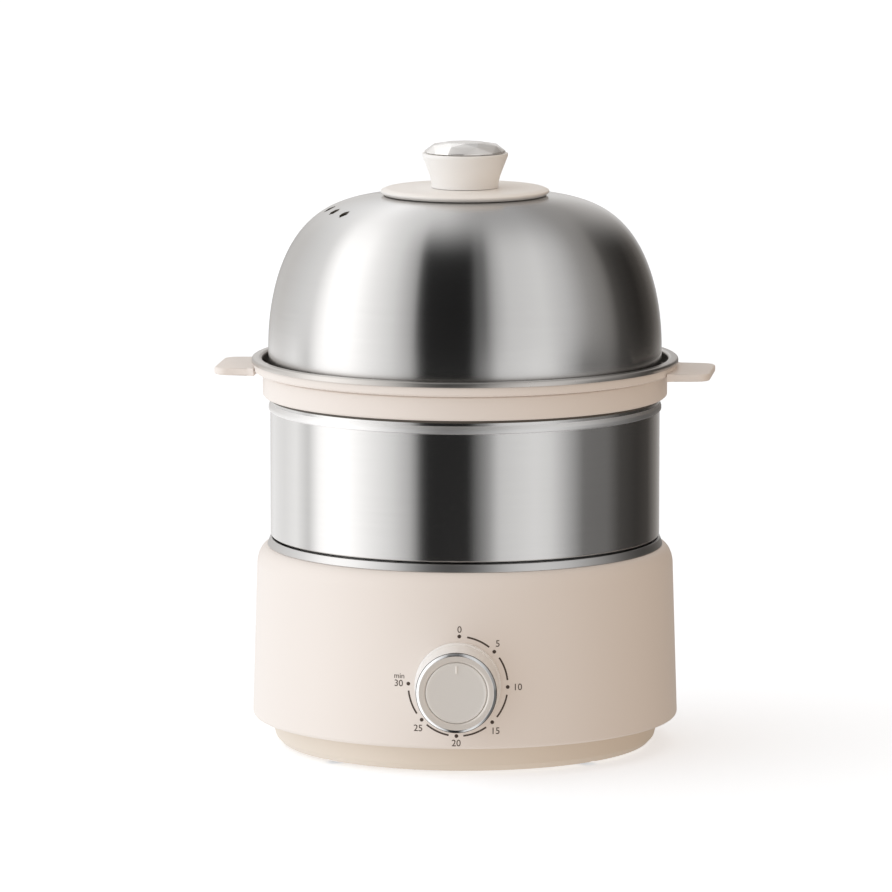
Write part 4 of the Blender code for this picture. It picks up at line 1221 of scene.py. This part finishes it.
def box_levels(nodes, turn, boxes):
    """The light of a row of soft boxes by turn: 0 at the object's left edge, 0.5 in front, 1 at its right."""
    ahead = 0.5 + CAMERA_TURN / math.pi
    stops = []
    for angle, level, warmth in boxes:
        place = min(max(ahead + angle / 180, 0.0), 1.0)
        stops.append((place, (level, level * warmth, level * warmth**2)))
    return nodes.ramp(turn, stops)


def mirrored_light(nodes, direction):
    """What reflections see: three rows of boxes, each by the way that the mirroring surface faces."""
    facing = vector_math(nodes, "NORMALIZE", vector_math(nodes, "SUBTRACT", direction, MEETING))
    gradient = nodes.add("ShaderNodeTexGradient", {"gradient_type": "RADIAL"})
    nodes.put(gradient, "Vector", facing)
    turn = nodes.math("MULTIPLY", gradient.outputs["Fac"], 2.0)
    rise = separated(nodes, facing)[2]
    level = box_levels(nodes, turn, LOW_BOXES)
    level = mixed(nodes, eased(nodes, rise, HIGH_RISE), level, box_levels(nodes, turn, HIGH_BOXES))
    level = mixed(nodes, eased(nodes, rise, CEILING_RISE), level, box_levels(nodes, turn, CEILING_BOXES))
    return nodes.add("ShaderNodeBackground", Color=level, Strength=BOX_STRENGTH)


def matt_light(nodes, direction):
    """What matt surfaces see: a fill that falls off and warms from left to right, and a key from the left."""
    across = separated(nodes, direction)[0]
    tint = mixed(nodes, nodes.between(across, 0.5, 1.0), LEFT_TINT, RIGHT_TINT)
    level = nodes.between(across, FILL_LEVEL, FILL_LEVEL - FILL_LEAN)
    fill = nodes.add("ShaderNodeBackground", Color=tint, Strength=level)
    toward = vector_math(nodes, "DOT_PRODUCT", direction, Vector(KEY_DIRECTION).normalized(), "Value")
    lobe = nodes.math("POWER", nodes.math("MAXIMUM", toward, 0.0), KEY_SPREAD)
    strength = nodes.math("MULTIPLY", lobe, KEY_LEVEL)
    key = nodes.add("ShaderNodeBackground", Color=(*KEY_TINT, 1), Strength=strength)
    both = nodes.add("ShaderNodeAddShader")
    nodes.put(both, 0, fill.outputs[0])
    nodes.put(both, 1, key.outputs[0])
    return both


def chosen_light(nodes, factor, first, second):
    """The first light where the factor is 0 and the second where it is 1."""
    choice = nodes.add("ShaderNodeMixShader")
    for socket, source in enumerate((factor, first.outputs[0], second.outputs[0])):
        nodes.put(choice, socket, source)
    return choice


def make_room_light():
    """A studio round the object. The camera sees white paper behind it."""
    world = bpy.data.worlds.new("studio")
    bpy.context.scene.world = world
    world.use_nodes = True
    world.node_tree.nodes.clear()
    nodes = Nodes(world.node_tree)
    direction = nodes.add("ShaderNodeTexCoord").outputs["Generated"]
    rays = nodes.add("ShaderNodeLightPath").outputs
    boxes, matt = mirrored_light(nodes, direction), matt_light(nodes, direction)
    white = nodes.add("ShaderNodeBackground", Color=(1, 1, 1, 1), Strength=1.0)
    seen_by_object = chosen_light(nodes, rays["Is Diffuse Ray"], boxes, matt)
    seen = chosen_light(nodes, rays["Is Camera Ray"], seen_by_object, white)
    nodes.put(nodes.add("ShaderNodeOutputWorld"), "Surface", seen.outputs[0])


def set_view():
    view = bpy.context.scene.view_settings
    view.view_transform = "Standard"
    view.look = "None"
    view.exposure = 0
    view.gamma = 1


make_camera()
set_view()
make_room_light()
make_floor()
dress_cad_nodes()
make_housing()
make_cover()
make_feet()
make_pan()
make_seat()
make_knob_body()
make_bezel()
make_knob_groove()
make_knob_plate()
make_pointer()
make_dial_marks()
make_dial_numbers()
make_pot()
make_collar_seal()
make_handle_ring()
for tier_name, has_socket in (("lower", False), ("upper", True)):
    make_rack(tier_name)
    make_post(tier_name, has_socket)
make_dome()
make_lid_disc()
make_lid_knob()
make_lid_cap()

bpy.context.view_layer.update()
